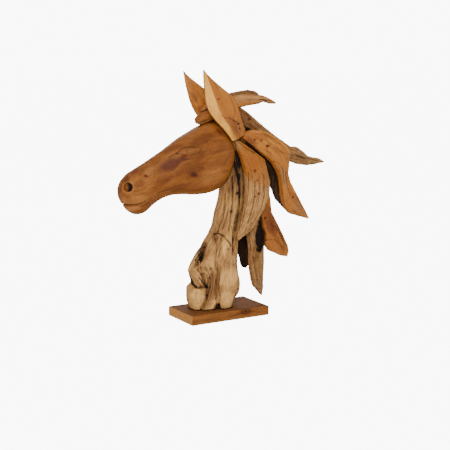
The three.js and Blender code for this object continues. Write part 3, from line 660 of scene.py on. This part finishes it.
def headSkin():
    rows = np.array(head["rows"])
    steps, around = 120, 96
    top, bottom, girth = (curveThrough(rows[:, pick], steps) for pick in ([0, 1], [2, 3], [4, 5, 6]))
    angle = np.arange(around) * 2 * math.pi / around
    rise, sideways = np.cos(angle), np.sin(angle)
    points, faces = [], []
    for (topX, topZ), (bottomX, bottomZ), (width, above, below) in zip(top, bottom, girth):
        narrowed = 1 - np.where(rise > 0, above, below) * rise ** 2
        x = (topX + bottomX) / 2 + rise * (topX - bottomX) / 2
        z = (topZ + bottomZ) / 2 + rise * (topZ - bottomZ) / 2
        y = np.sign(sideways) * np.abs(sideways) ** head["fullness"] * width * narrowed
        points.append(np.stack([x, y, z], axis=1))
    for i in range(steps):
        for j in range(around):
            k = (j + 1) % around
            faces.append((i * around + j, i * around + k, (i + 1) * around + k, (i + 1) * around + j))
    faces.append(tuple(range(around))[::-1])
    faces.append(tuple(steps * around + j for j in range(around)))
    mesh = bpy.data.meshes.new("headSkin")
    mesh.from_pydata((np.vstack(points) * figure["part"] + (0, 0, figure["foot"])).tolist(), [], faces)
    return mesh


def nostrilCentre(side):
    x, y, z = head["nostril"]["at"]
    return (x * figure["part"], side * y * figure["part"], figure["foot"] + z * figure["part"])


def boreNostrils(mesh):
    piece = bpy.data.objects.new("headBlank", mesh)
    bpy.context.scene.collection.objects.link(piece)
    nostril = head["nostril"]
    cutters = []
    for side in (-1, 1):
        bpy.ops.mesh.primitive_uv_sphere_add(segments=32, ring_count=20, radius=1)
        cutter = bpy.context.object
        cutter.location = nostrilCentre(side)
        cutter.scale = (nostril["radius"] / 1000, nostril["depth"] / 1000, nostril["radius"] / 1000)
        cutter.rotation_euler = (0, 0, math.radians(side * nostril["turn"]))
        bore = piece.modifiers.new("bore", "BOOLEAN")
        bore.operation = "DIFFERENCE"
        bore.object = cutter
        cutters.append(cutter)
    bored = bpy.data.meshes.new_from_object(piece.evaluated_get(bpy.context.evaluated_depsgraph_get()))
    for done in cutters + [piece]:
        bpy.data.objects.remove(done)
    return bored


# the slit between the lips, deepest at the front
def cutMouth(flat, height, tone):
    mouth = head["mouth"]
    fromFront = np.clip((flat[:, 0] - mouth["front"]) / (mouth["back"] - mouth["front"]), 0, 1)
    halfWidth = mouth["width"] - mouth["widthLoss"] * fromFront
    slit = 1 - stepped(distanceTo(flat, mouth["line"]), 0.6, halfWidth)
    slit *= stepped(-flat[:, 0], 34, 36.2)
    height -= slit * (mouth["depth"] - mouth["depthLoss"] * fromFront)
    tone[:, 1] += slit * mouth["shade"]


# each eye is a low almond between two incised lids, in a shallow hollow
def carveEyes(flat, facing, height, tone):
    eye = head["eye"]
    toUpper, toLower = distanceTo(flat, eye["upperLid"]), distanceTo(flat, eye["lowerLid"])
    lidTop = np.interp(flat[:, 0], *smoothLine(eye["upperLid"]).T)
    lidFoot = np.interp(flat[:, 0], *smoothLine(eye["lowerLid"]).T)
    front, back = eye["upperLid"][0][0], eye["upperLid"][-1][0]
    inside = (flat[:, 0] > front) & (flat[:, 0] < back) & (flat[:, 1] < lidTop) & (flat[:, 1] > lidFoot)
    inside = inside & facing
    lidLine = np.minimum(toUpper, toLower)
    lid = (1 - stepped(lidLine, 0.7, 2.4)) * facing
    height -= eye["hollowDepth"] * (1 - stepped(within(flat, *eye["hollow"]), 0.35, 1.1)) * facing
    height += inside * np.minimum(lidLine, 5) * eye["bulge"]
    height -= eye["lidDepth"] * lid
    browRidge = 1 - stepped(np.abs(toUpper - eye["browAbove"]), 0.5, 3.5)
    height += eye["browRise"] * browRidge * facing * (flat[:, 1] > lidTop)
    iris = np.abs(within(flat, *eye["iris"]) - 1)
    height -= eye["irisDepth"] * (1 - stepped(iris, 0.05, 0.22)) * inside
    # painted shade in the iris groove, over the almond and in the incised lids, darkest under the upper
    # lid at the front
    tone[:, 1] += 0.2 * (1 - stepped(iris, 0.05, 0.25)) * inside + 0.1 * inside
    tone[:, 1] += lid * (0.24 + 0.25 * (flat[:, 1] > lidTop - 0.5) * stepped(-flat[:, 0], 12, 17))


# the nostrils are painted in shade from their lit front to the back, inside a raised rim with a painted
# highlight
def shadeNostrils(points, height, tone):
    nostril = head["nostril"]
    for side in (-1, 1):
        turn = math.radians(side * nostril["turn"])
        offset = (points - nostrilCentre(side)) * 1000
        sideways = offset[:, 0] * math.cos(turn) + offset[:, 1] * math.sin(turn)
        inwards = -side * (offset[:, 1] * math.cos(turn) - offset[:, 0] * math.sin(turn))
        across = (sideways ** 2 + offset[:, 2] ** 2) / nostril["radius"] ** 2
        away = np.sqrt(across + (inwards / nostril["depth"]) ** 2)
        inHole = 1 - stepped(away, 1.02, 1.2)
        rim = 1 - stepped(np.abs(away - 1.36), 0.06, 0.26)
        height += nostril["rimRise"] * rim
        # painted highlight on the rim
        tone[:, 0] += 0.35 * rim
        fromFront = 0.87 * offset[:, 0] + side * 0.5 * offset[:, 1]
        # painted shade inside the hole, deepest at the back
        tone[:, 1] += inHole * (0.12 + 0.88 * stepped(fromFront, -5, 3))


def carveFace(points, normals, grain, height, tone):
    flat = profileOf(points)
    facing = np.abs(normals[:, 1]) > 0.25
    left = stepped(-normals[:, 1], 0.1, 0.4)
    cutMouth(flat, height, tone)
    carveEyes(flat, facing, height, tone)
    for rows, inner, side in ((head["creases"], 0.3, facing), (head["checks"], 0.4, left)):
        for width, depth, shade, line in rows:
            cut = (1 - stepped(distanceTo(flat, line), width * inner, width)) * side
            height -= depth * cut
            tone[:, 1] += shade * cut
    shadeNostrils(points, height, tone)
    patch = 0.35 * fibres(grain, 30, 14, head["seed"] + 31, 3)
    for x, z, long, wide, lean, pale, dark, red in head["stainsAndPaintedLight"]:
        share = (1 - stepped(within(flat, x, z, long, wide, lean) + patch, 0.4, 1.25)) * left
        tone += share[:, None] * np.array([pale, dark, red])


def makeHead():
    piece = remeshed(boreNostrils(headSkin()), head["name"], head["voxel"])
    eased(piece.data, head["ease"])
    mesh = piece.data
    points, normals = pointsOf(mesh), pointsOf(mesh, "normal")
    grain = grainOf(points, head["grain"])
    height = 0.5 * fibres(grain, 70, 40, head["seed"], 2) - 0.2
    tone = np.zeros((len(points), 3))
    tone[:, 0] = 0.25
    # joint dirt and painted shade where the head meets its neighbours
    tone[:, 1] += 0.22 * jointDirtAndShade(points, head["node"])
    carveFace(points, normals, grain, height, tone)
    movePoints(mesh, points + normals * height[:, None] / 1000)
    keepLayers(mesh, grain, tone)
    dressed(piece, head["node"], head["surface"])
    print(head["name"], len(mesh.polygons))


makeHead()


# the neck root

# All wood below is laid out alike. The grain is a line drawn in parts, and marksPlane is where the
# marks lie, in parts to the right of the profile's plane. The rest is in mm: furrows have a length
# along the grain, a width and a depth, checks the same and how far they gape, and a ragged end its
# length and how rough it is.

neck = {
    "name": "neckRoot", "node": "neck_root", "marksPlane": -5.8, "slot": "root_teak", "surface": rootTeak,
    "voxel": 2, "ease": 4, "jointShade": 0.32, "seed": 40, "aged": 0.3, "twist": 1.2,
    "grain": [
        (-4, -2), (-3, 6), (-3, 14), (-1.5, 22), (1.5, 30), (4, 38), (6, 46), (7, 56), (7.5, 66),
        (6, 80),
    ],
    "furrows": (90, 9, 2), "checks": (120, 15, 3, 0.09),
    "hillHeight": 1.4,
    # smooth places: x, z, long mm, wide mm, lean, share
    "calm": [
        (1.4, 13.3, 40, 42, 0, 0.95), (0.6, 3.9, 36, 30, 0, 0.95), (-14.4, 5.2, 34, 36, 0, 0.95),
        (-13.6, 15.7, 28, 12, -57, 0.6),
    ],
    # width, depth, shade, line
    "cracksAndShadeLines": [
        (3.5, 3.5, 0.8, [(-6.1, 32.6), (-3.2, 32.5), (-0.5, 31.1), (1.7, 28.5), (2.8, 26.5)]),
        (3, 2.4, 0.5, [(-5.8, 32), (-5, 29.1), (-4.5, 25.3), (-5.1, 20.7), (-4.3, 17.3)]),
        (2.6, 1.6, 0.4, [(-1.8, 30.3), (-2.4, 26.1), (-3.1, 21.9)]),
        (3, 2.5, 0.5, [(3.3, 34.5), (3.7, 29.8), (4.1, 24.5), (5.5, 21)]),
        (5, 4, 0.48, [(-0.5, 49), (-0.8, 40.7), (-4.2, 33.2)]),
        (5, 4, 0.52, [(3.1, 55.7), (3.7, 46.7), (3.1, 40.4), (1.9, 33.4)]),
        # painted shade in the gap along the cheek lock's left edge, over a shallow groove
        (6.4, 3, 0.6, [
            (2.9, 64.2), (4.6, 60.3), (6.1, 56.5), (7.3, 50.1), (7.1, 43.8), (5.8, 37.6), (4.9, 33),
        ]),
        (3, 2.4, 0.45, [(1.5, 47.5), (1.1, 40.6), (-1.4, 34.4)]),
        (5, 4, 0.5, [(6.7, 56.5), (7.2, 46.4), (5.5, 39.5), (3.9, 32.5), (3.9, 22.6)]),
        # hollow in front, folds round the beak, strands down to the board, edges of the lobe and the block
        (12, 7, 0.25, [(-10.7, 28.5), (-11.4, 25.8), (-12, 23.5), (-13.3, 21)]),
        (6, 4.5, 1, [(-18.6, 16.7), (-17.8, 14.5), (-16.5, 12.2), (-14.4, 10.8)]),
        (5, 3, 0.65, [(-14.4, 10.8), (-11.7, 10), (-9.1, 10.1)]),
        (7, 4, 0.75, [(-12.7, 14.3), (-11.3, 12.8), (-10, 11.7), (-9.3, 10)]),
        (4.4, 3, 0.38, [(-9, 10), (-9.2, 6.4), (-10.6, 3.7), (-11.9, 0.7)]),
        (4.5, 2.4, 0.55, [(-13.8, 18.5), (-12, 16.7), (-10.9, 14.7), (-10.4, 13.2)]),
        (5, 2.6, 0.46, [
            (-10.1, 18.6), (-8.3, 16.3), (-7.5, 13.4), (-7.9, 10.1), (-8.6, 7.3), (-9.7, 4.1),
            (-10.8, 1.6),
        ]),
        (4, 2, 0.38, [(-8, 19.6), (-5.9, 16.5), (-5.6, 12.7), (-6.3, 8.9), (-7.5, 5.7), (-9.4, 1.9)]),
        (5, 2.4, 0.46, [(-4, 20.1), (-3.6, 16.3), (-3.8, 11.5), (-3.6, 7.7), (-4.7, 4), (-7.2, 1.2)]),
        (3.6, 1.8, 0.5, [(-9.2, 15.4), (-8.5, 12.5), (-9.2, 10.2)]),
        (3.4, 1.6, 0.34, [(-5, 15.5), (-4.7, 11.6), (-5.1, 7.9), (-6.4, 4.2)]),
        (4, 3, 0.5, [(-2.5, 18.3), (-3.1, 13.8), (-3.2, 9.5), (-2.8, 5.2), (-3.3, 1.5)]),
        (4, 2.4, 0.6, [(6.9, 14.2), (7.5, 10.2), (7.2, 6.9), (5.7, 4.2)]),
        (4, 2, 0.7, [(5.3, 5.9), (4.2, 4.1), (3.8, 1.7)]),
        (3, 1.2, 0.35, [(-17.8, 9.3), (-15.4, 8), (-12.3, 7.4), (-9.4, 6.5)]),
        (2.6, 0.8, 0.3, [(-15.8, 7.2), (-16.4, 4.5), (-15.9, 1.9)]),
        (2.4, 0.8, 0.25, [(-13.3, 6.9), (-13.6, 4.1), (-13.3, 1.4)]),
        (2.6, 1, 0.25, [(-1.3, 21.7), (0.1, 19.7), (2.5, 18.8), (5.5, 18.7)]),
    ],
    # x, z, radius, depth, shade
    "knots": [
        (6, 48.7, 4.5, 1.8, 0.7), (2.8, 41.2, 4.5, 1.8, 0.7), (1.2, 25.4, 3, 1.2, 0.45),
        (9.6, 11.6, 5, 4, 0.6), (10, 8.4, 6, 5, 0.7), (9.4, 5.4, 5, 4, 0.8), (8.2, 3.2, 5, 3, 0.9),
        # the gap at the foot, painted in shade, and small knots in the burl
        (-3.9, 0.4, 7.5, 5, 1.5), (-3.8, 1.4, 5, 4, 1.2), (-10.9, 16.1, 4, 1.2, 0.5),
        (-8, 14, 3.5, 1, 0.45), (-7.2, 17.8, 4, 1.2, 0.45), (-12.2, 18.8, 3.4, 1, 0.4),
    ],
    # x, z, long mm, wide mm, lean, aged, dark, red
    "stainsAndPaintedLight": [
        # the first four stains are painted shade: the throat under the jaw and beside the cheek lock,
        # darkest at the top
        (7.4, 65.6, 46, 30, 84, -0.4, 0.7, 0), (7.2, 61, 66, 26, 84, -0.3, 0.4, 0),
        (6, 56, 80, 44, 80, -0.2, 0.26, 0), (2.1, 52.9, 44, 30, 30, -0.2, 0.16, 0),
        # these two are painted shade in the front hollow
        (-11.7, 25.2, 36, 14, 72, -0.5, 0.6, 0), (-13.2, 21.7, 24, 12, 66, -0.4, 0.55, 0),
        (1.4, 13.3, 30, 38, 90, 0.6, -0.1, 0.1), (0.6, 3.9, 30, 26, 0, 0.5, -0.3, 0),
        (-14.4, 5.2, 36, 30, 90, 1, -0.3, 0), (-13.6, 15.7, 28, 9, -57, 0.9, -0.1, 0.45),
        # (-15.9, 21.1) is a painted highlight on the lit left rim of the hollow
        (-15.9, 21.1, 34, 5, 58, 0.8, -0.1, 0.15), (-6.6, 2.4, 22, 9, 48, 1, -0.6, 0),
        (-7.5, 10, 56, 15, 84, -0.2, 0.06, 0.4), (-4.5, 9.7, 60, 8, 88, -0.2, 0.08, 0.3),
        (-5.3, 31.3, 18, 13, 80, -0.2, 0.1, 0.5), (5.5, 7.3, 24, 5, 20, -0.35, 0, 0),
        (0.1, 27.3, 34, 12, 84, 0.6, -0.1, 0), (-0.5, 34.9, 60, 12, 80, 0, 0, 0.4),
        (-10.6, 33.9, 50, 14, 70, -0.1, 0, 0.3), (8.9, 9, 40, 8, 84, -0.4, 0.4, 0),
        (-7.6, 18.2, 44, 16, 80, 0.3, -0.12, 0),
    ],
}
makePiece(neck)


# ears

# both are cut from thin board and sanded, so they hardly have furrows or checks
earWear = {"furrows": (60, 12, 0.3), "checks": (80, 16, 0, 0.1), "hillHeight": 0.3, "furrowShade": 0}


# the bevel that faces forwards, towards the lamps, is painted pale: a painted highlight
def paintedBevelLight(normals, tone):
    tone[:, 0] += stepped(-normals[:, 0], 0.3, 0.5) * stepped(-normals[:, 1], 0.1, 0.3)


leftEar = {
    "name": "leftEar", "node": "left_ear", "marksPlane": -8.8, "slot": "ear_teak", "surface": earTeak,
    "voxel": 1.45, "ease": 1, "seed": 61, "paintedLighting": paintedBevelLight,
    "grain": [(5, 71), (1.5, 77), (-1.5, 83), (-4.5, 89), (-8, 95), (-11, 100)],
    **earWear,
    "cracksAndShadeLines": [
        (2.2, 0.8, 0.5, [(-3.6, 81.6), (-1.6, 80.2), (0.6, 80.3), (2.2, 78.8), (4.3, 78.9)]),
        (2.4, 0.9, 0.55, [(1.9, 79.5), (3.6, 78.2), (4.7, 77.2), (5.4, 75)]),
        (2, 0.6, 0.4, [(2.6, 84.4), (2.4, 81), (1.6, 79.8)]),
    ],
    "knots": [(-5, 88.1, 2.2, 1.4, 0.95), (4.5, 78, 3.4, 1.2, 0.85), (4.9, 76, 2.4, 1, 0.7)],
    "stainsAndPaintedLight": [
        (2, 77.6, 36, 16, -60, 0, 0.1, 0.35), (4.2, 73.8, 40, 26, -50, -0.5, 0.06, 0.22),
        (-1, 85, 60, 12, -62, 0.1, 0, 0),
    ],
}
makePiece(leftEar)

rightEar = {
    "name": "rightEar", "node": "right_ear", "marksPlane": 5, "slot": "ear_teak", "surface": sawnTeak,
    "voxel": 1.6, "ease": 3, "seed": 71, "aged": 0.1,
    "grain": [(4, 70), (1.5, 76), (-1.8, 82), (-5.2, 88), (-9.6, 94), (-13, 99)],
    **earWear,
    "stainsAndPaintedLight": [(-8.6, 88.4, 20, 10, -60, 0.2, 0.05, 0.4), (-5.4, 83, 18, 12, -50, 0.1, 0.12, 0.4)],
}
makePiece(rightEar)


# locks of the mane

leftCheekLock = {
    "name": "leftCheekLock", "node": "left_cheek_lock", "marksPlane": -9.2, "slot": "root_teak",
    "surface": halfWeatheredTeak, "voxel": 1.9, "ease": 4, "seed": 80, "aged": 0.85,
    "grain": [(5, 71), (9, 66), (12, 60), (14, 54), (14.5, 48), (13, 41), (10.5, 36), (7, 31), (5, 28)],
    "furrows": (70, 7, 1.5), "checks": (100, 12, 2.6, 0.09),
    "calm": [(12, 63.6, 80, 66, -50, 0.9)], "raggedEnd": (50, 0.6),
    "cracksAndShadeLines": [
        (3.2, 2.2, 0.5, [(8.9, 57.6), (9.2, 52), (8.7, 46.5), (7.1, 40.6), (5.6, 34.4)]),
        (3.2, 2.4, 0.55, [(12.2, 53.6), (12.4, 48), (11.4, 42.8), (9, 36.2)]),
        (3, 2, 0.45, [(16.7, 56.1), (17.2, 46.9), (14.7, 40), (10.4, 34.6)]),
        (2.6, 1.6, 0.4, [(14.6, 56), (14.9, 49.8), (13.4, 43)]),
        # the first two lines are painted shade along the lock's edges: under the fork lock and beside the
        # neck
        (4, 1.5, 0.6, [(4.6, 70.4), (8, 67.6), (12, 65.6)]),
        (3.4, 1, 0.5, [
            (2.3, 64.4), (3.9, 60.6), (5.4, 56.8), (6.6, 50.4), (6.5, 44.1), (5.1, 37.9), (4.3, 33.3),
        ]),
        (2.4, 0.6, 0.2, [(7.4, 59.6), (10, 58.6), (12.3, 57.2), (15.6, 56.6), (19, 55.6)]),
    ],
    "knots": [
        (12.3, 58.1, 3, 1.8, 0.9), (13.3, 54, 2.4, 1.2, 0.6), (14.2, 48.4, 3.6, 1.6, 0.6),
        (12.7, 47.2, 2.4, 1.2, 0.5),
    ],
    "stainsAndPaintedLight": [
        (11.6, 66, 62, 66, -60, -0.6, 0, 0.1), (13.4, 61.6, 92, 66, -50, -0.55, 0, 0.1),
        (9, 56, 20, 20, 0, 0.1, 0.1, 0),
    ],
}
makePiece(leftCheekLock)

forkLock = {
    "name": "forkLock", "node": "fork_lock", "marksPlane": -7, "slot": "sawn_teak", "surface": sawnTeak,
    "voxel": 1.9, "ease": 4, "seed": 95, "aged": 0.05,
    "grain": [
        (7, 72), (14, 71.5), (21, 68), (26.5, 63), (29, 58), (29, 53), (31, 47), (35.5, 41), (42, 35),
    ],
    "furrows": (60, 10, 0.5), "checks": (90, 14, 0.9, 0.06),
    "furrowShade": 0.12,
    "cracksAndShadeLines": [
        (2.6, 1, 0.35, [(24, 67.2), (26.9, 64.7), (31.4, 64)]),
        (3, 1.4, 0.4, [(22.7, 61.2), (26.1, 60.3), (27.9, 56.6), (28.4, 52)]),
        (2.6, 1.2, 0.4, [(29.2, 56.4), (29.4, 51.4), (31.8, 46.4)]),
        (2.2, 0.8, 0.3, [(12, 73.6), (18, 73), (24, 70.4)]),
        # painted shade where the lock's end tucks under the ear
        (6, 2, 0.9, [(7.6, 71.2), (11, 68.6), (15.4, 65)]),
    ],
    "knots": [
        (13.5, 70.8, 2.6, 2.2, 0.95), (16.6, 70.4, 2.6, 2.2, 0.95), (19.7, 67.9, 3.8, 2.6, 0.95),
        (20.8, 68, 2.2, 1.6, 0.6), (33, 45.3, 2.6, 1.4, 0.8),
    ],
    "stainsAndPaintedLight": [
        (11.5, 69.6, 30, 12, -30, 0, 0.2, 0.4), (28.6, 54.4, 46, 16, -80, 0.35, 0.3, 0),
        (35, 42, 60, 24, -50, 0, 0.19, 0.1), (30.6, 62, 14, 10, 60, 0.4, 0, 0.4),
        (38, 38.6, 70, 30, -52, 0.3, 0, 0.1),
    ],
}
makePiece(forkLock)

crestLock = {
    "name": "crestLock", "node": "crest_lock", "marksPlane": -1, "slot": "weathered_teak",
    "surface": weatheredTeak, "voxel": 1.9, "ease": 5, "seed": 110, "aged": 0.6,
    "grain": [
        (3, 83), (9.5, 81), (15, 78), (22, 73), (29, 68.5), (36, 63.5), (43, 61), (50, 59.4), (57, 58.6),
    ],
    "furrows": (70, 7, 1.6), "checks": (100, 11, 2.4, 0.09),
    "raggedEnd": (40, 0.5), "calm": [(13, 78, 70, 46, -40, 0.65)],
    "cracksAndShadeLines": [
        (3, 2, 0.35, [(12.3, 81.6), (16.4, 78.4), (19.8, 75.7), (25.7, 71.2)]),
        (2.6, 1.2, 0.3, [(10.6, 79.4), (15, 76.6), (20, 72.8)]),
        (3, 1.8, 0.45, [(36, 63), (42, 61.6), (50, 59.8)]),
    ],
    "knots": [(14.4, 79, 3, 1.4, 0.6), (39.4, 65.4, 4, -1.6, 0.1)],
    "stainsAndPaintedLight": [
        # (12, 74) is a painted contact shadow under the crest lock
        (11.5, 78, 80, 36, -40, -0.35, 0.24, 0.3), (12, 74, 26, 14, 0, -0.3, 1, 0),
        (40, 61.5, 34, 14, -20, 0, 0, 0.4),
    ],
}
makePiece(crestLock)

pollLockNear = {
    "name": "pollLockNear", "node": "poll_lock_near", "marksPlane": -3, "slot": "sawn_teak",
    "surface": sawnTeak, "voxel": 1.7, "ease": 5, "seed": 125, "aged": 0.55,
    "grain": [(-2, 82), (4, 85.4), (11, 87), (18, 87.3), (23, 86.6), (28, 85.4)],
    "furrows": (60, 7, 1.2), "checks": (80, 11, 1.8, 0.08),
    "raggedEnd": (50, 0.8),
    "stainsAndPaintedLight": [(11, 84.6, 60, 12, 6, -0.7, -0.1, 0), (23, 86, 30, 8, -20, 0, 0.3, 0)],
    "cracksAndShadeLines": [
        (2.6, 1.5, 0.4, [(8, 86.6), (14, 87.2), (20, 87.4), (24, 86.6)]),
        (2.4, 1.2, 0.35, [(10, 85.2), (15, 85.8), (19, 86.2)]),
    ],
}
makePiece(pollLockNear)

pollLockFar = {
    "name": "pollLockFar", "node": "poll_lock_far", "marksPlane": 0.4, "slot": "weathered_teak",
    "surface": weatheredTeak, "voxel": 1.7, "ease": 5, "seed": 133, "aged": 0.65,
    "grain": [(1, 84.5), (6, 87.4), (12, 89), (18, 89.6), (22, 89)],
    "furrows": (60, 7, 1.4), "checks": (80, 10, 2, 0.09),
    "raggedEnd": (40, 0.8), "stainsAndPaintedLight": [(14, 89, 110, 40, 10, -0.2, 0.2, 0.2)],
}
makePiece(pollLockFar)

# the two sticks over the brow are sawn alike
browStick = {
    "slot": "sawn_teak", "surface": sawnTeak, "voxel": 1.6, "ease": 3,
    "furrows": (40, 6, 0.9), "checks": (60, 9, 1.2, 0.07),
}

forelockLower = {
    **browStick, "name": "forelockLower", "node": "forelock_lower", "marksPlane": -1,
    "seed": 141, "aged": 0.1,
    "grain": [(3.5, 83.5), (-2, 82), (-6, 80.4), (-11, 78.6)],
    "stainsAndPaintedLight": [(-6, 80, 70, 50, 15, 0, 0.2, 0.25)],
    "cracksAndShadeLines": [(2.2, 1.2, 0.5, [(-10, 78.2), (-6.4, 79.2), (-2.4, 80.6)])],
}
makePiece(forelockLower)

forelockUpper = {
    **browStick, "name": "forelockUpper", "node": "forelock_upper", "marksPlane": 1,
    "seed": 149, "aged": 0.3,
    "grain": [(2.5, 86.6), (-2, 85.2), (-7, 82.8)],
    "stainsAndPaintedLight": [(-3, 84, 70, 50, 15, 0, 0.14, 0.1)],
}
makePiece(forelockUpper)

napeLock = {
    "name": "napeLock", "node": "nape_lock", "marksPlane": -3.4, "slot": "dark_teak", "surface": darkTeak,
    "voxel": 2, "ease": 5, "seed": 157, "aged": 0.3,
    "grain": [(15, 72), (22, 65), (25.5, 59), (27.5, 53), (29, 47), (31, 43), (35, 37)],
    "furrows": (60, 8, 1.8), "checks": (90, 12, 2.4, 0.09),
    # the stain is painted shade over the upper part of the lock, which lies behind the neck
    "raggedEnd": (40, 0.8), "stainsAndPaintedLight": [(19, 62, 90, 40, -50, -0.4, 0.5, 0)],
}
makePiece(napeLock)

bootLock = {
    "name": "bootLock", "node": "boot_lock", "marksPlane": -3.8, "slot": "sawn_teak", "surface": sawnTeak,
    "voxel": 1.9, "ease": 4, "seed": 165, "aged": 0,
    "grain": [(13, 61), (17, 55), (20.5, 48), (22.5, 41), (25, 34), (27.5, 27), (32, 18)],
    "furrows": (60, 10, 0.6), "checks": (90, 14, 1, 0.06),
    "furrowShade": 0.12,
    "cracksAndShadeLines": [
        (2.8, 1.6, 0.7, [(25.9, 33), (27.6, 30.6), (29.2, 28.6), (30.6, 25.6)]),
        (3, 1.6, 0.35, [(20.6, 27), (24, 27.2), (27.4, 26.2), (31.3, 21.4)]),
    ],
    "knots": [(20.8, 36.6, 3, 1.4, 0.7)],
    "stainsAndPaintedLight": [(23, 36, 60, 22, -70, -0.1, 0.12, 0.55), (26, 28, 90, 60, -60, 0, 0.07, 0.25)],
}
makePiece(bootLock)

hangingLock = {
    "name": "hangingLock", "node": "hanging_lock", "marksPlane": -3.2, "slot": "weathered_teak",
    "surface": weatheredTeak, "voxel": 1.9, "ease": 4, "seed": 173, "aged": 0.5,
    "grain": [(12.7, 50), (14, 42), (16.2, 35), (17.6, 29), (17.9, 22), (18, 14), (19, 7), (21.4, 2)],
    "furrows": (70, 8, 1.4), "checks": (90, 12, 2.2, 0.08),
    "calm": [(19.5, 4.6, 22, 22, 0, 0.8)],
    "cracksAndShadeLines": [(3, 1.8, 0.45, [(15.4, 20), (16.6, 13), (18.6, 7)])],
    "stainsAndPaintedLight": [
        # (19, 29.4) is painted shade in the deep gap between this lock and the boot lock
        (19, 29.4, 56, 17, 86, -0.5, 2.2, 0), (16, 21, 34, 14, 80, -0.2, 0.3, 0),
        (18.6, 9, 40, 20, 76, 0.3, -0.02, 0.3),
    ],
}
makePiece(hangingLock)

rightCheekLock = {
    "name": "rightCheekLock", "node": "right_cheek_lock", "marksPlane": 3.5, "slot": "dark_teak",
    "surface": darkTeak, "voxel": 2, "ease": 5, "seed": 181, "aged": 0.1,
    "grain": [(8, 71), (10.5, 64), (12.5, 55), (13, 45), (14, 35), (15.5, 25), (16, 13)],
    "furrows": (60, 8, 2), "checks": (90, 12, 2.6, 0.09),
    # the stain is painted shade over the whole lock, which lies behind the neck
    "raggedEnd": (60, 2.2), "stainsAndPaintedLight": [(14, 28, 190, 60, 84, -0.2, 0.5, 0)],
}
makePiece(rightCheekLock)


# the board

board = {
    "name": "baseBoard", "node": "base_board", "slot": "base_teak", "surface": planedTeak,
    "voxel": 1.8, "seed": 190, "sawWaves": 0.12,
    # a knot on the long front face: x and z in mm, its radii in mm
    "knot": (51, 22, 19, 9),
    "topShade": 0.36,
}


def makeBoard():
    piece = remeshed(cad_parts[board["node"]].data.copy(), board["name"], board["voxel"])
    mesh = piece.data
    eased(mesh, 1)
    points, normals = pointsOf(mesh), pointsOf(mesh, "normal")
    grain = points * 1000 + (190, 0, 40)  # straight along the board, off the heart of the log
    x, z, long, wide = board["knot"]
    reach = np.hypot((points[:, 0] * 1000 - x) / long, (points[:, 2] * 1000 - z) / wide)
    front = stepped(-normals[:, 1], 0.4, 0.8)
    swirl = np.exp(-reach ** 2 / 5) * front
    grain[:, 2] += swirl * 9 * np.sign(points[:, 2] * 1000 - z)
    tone = np.zeros((len(points), 3))
    # the end facing -x is painted paler
    tone[:, 0] = 0.2 + 0.9 * stepped(-normals[:, 0], 0.5, 0.9)
    ring = np.abs(reach - 0.75)
    tone[:, 1] = front * (0.8 * (1 - stepped(reach, 0.2, 0.5)) + 0.6 * (1 - stepped(ring, 0.08, 0.3)))
    tone[:, 2] = front * 0.6 * (1 - stepped(reach, 0.8, 2.2))
    tone[:, 1] += board["topShade"] * stepped(normals[:, 2], 0.5, 0.9)
    # joint dirt and painted shade where the board meets the pieces on it
    tone[:, 1] += 0.5 * jointDirtAndShade(points, board["node"])
    height = -board["sawWaves"] * (1 + fibres(grain, 90, 20, board["seed"], 2))
    movePoints(mesh, points + normals * height[:, None] / 1000)
    keepLayers(mesh, grain, tone)
    dressed(piece, board["node"], board["surface"])
    print(board["name"], len(mesh.polygons))


makeBoard()
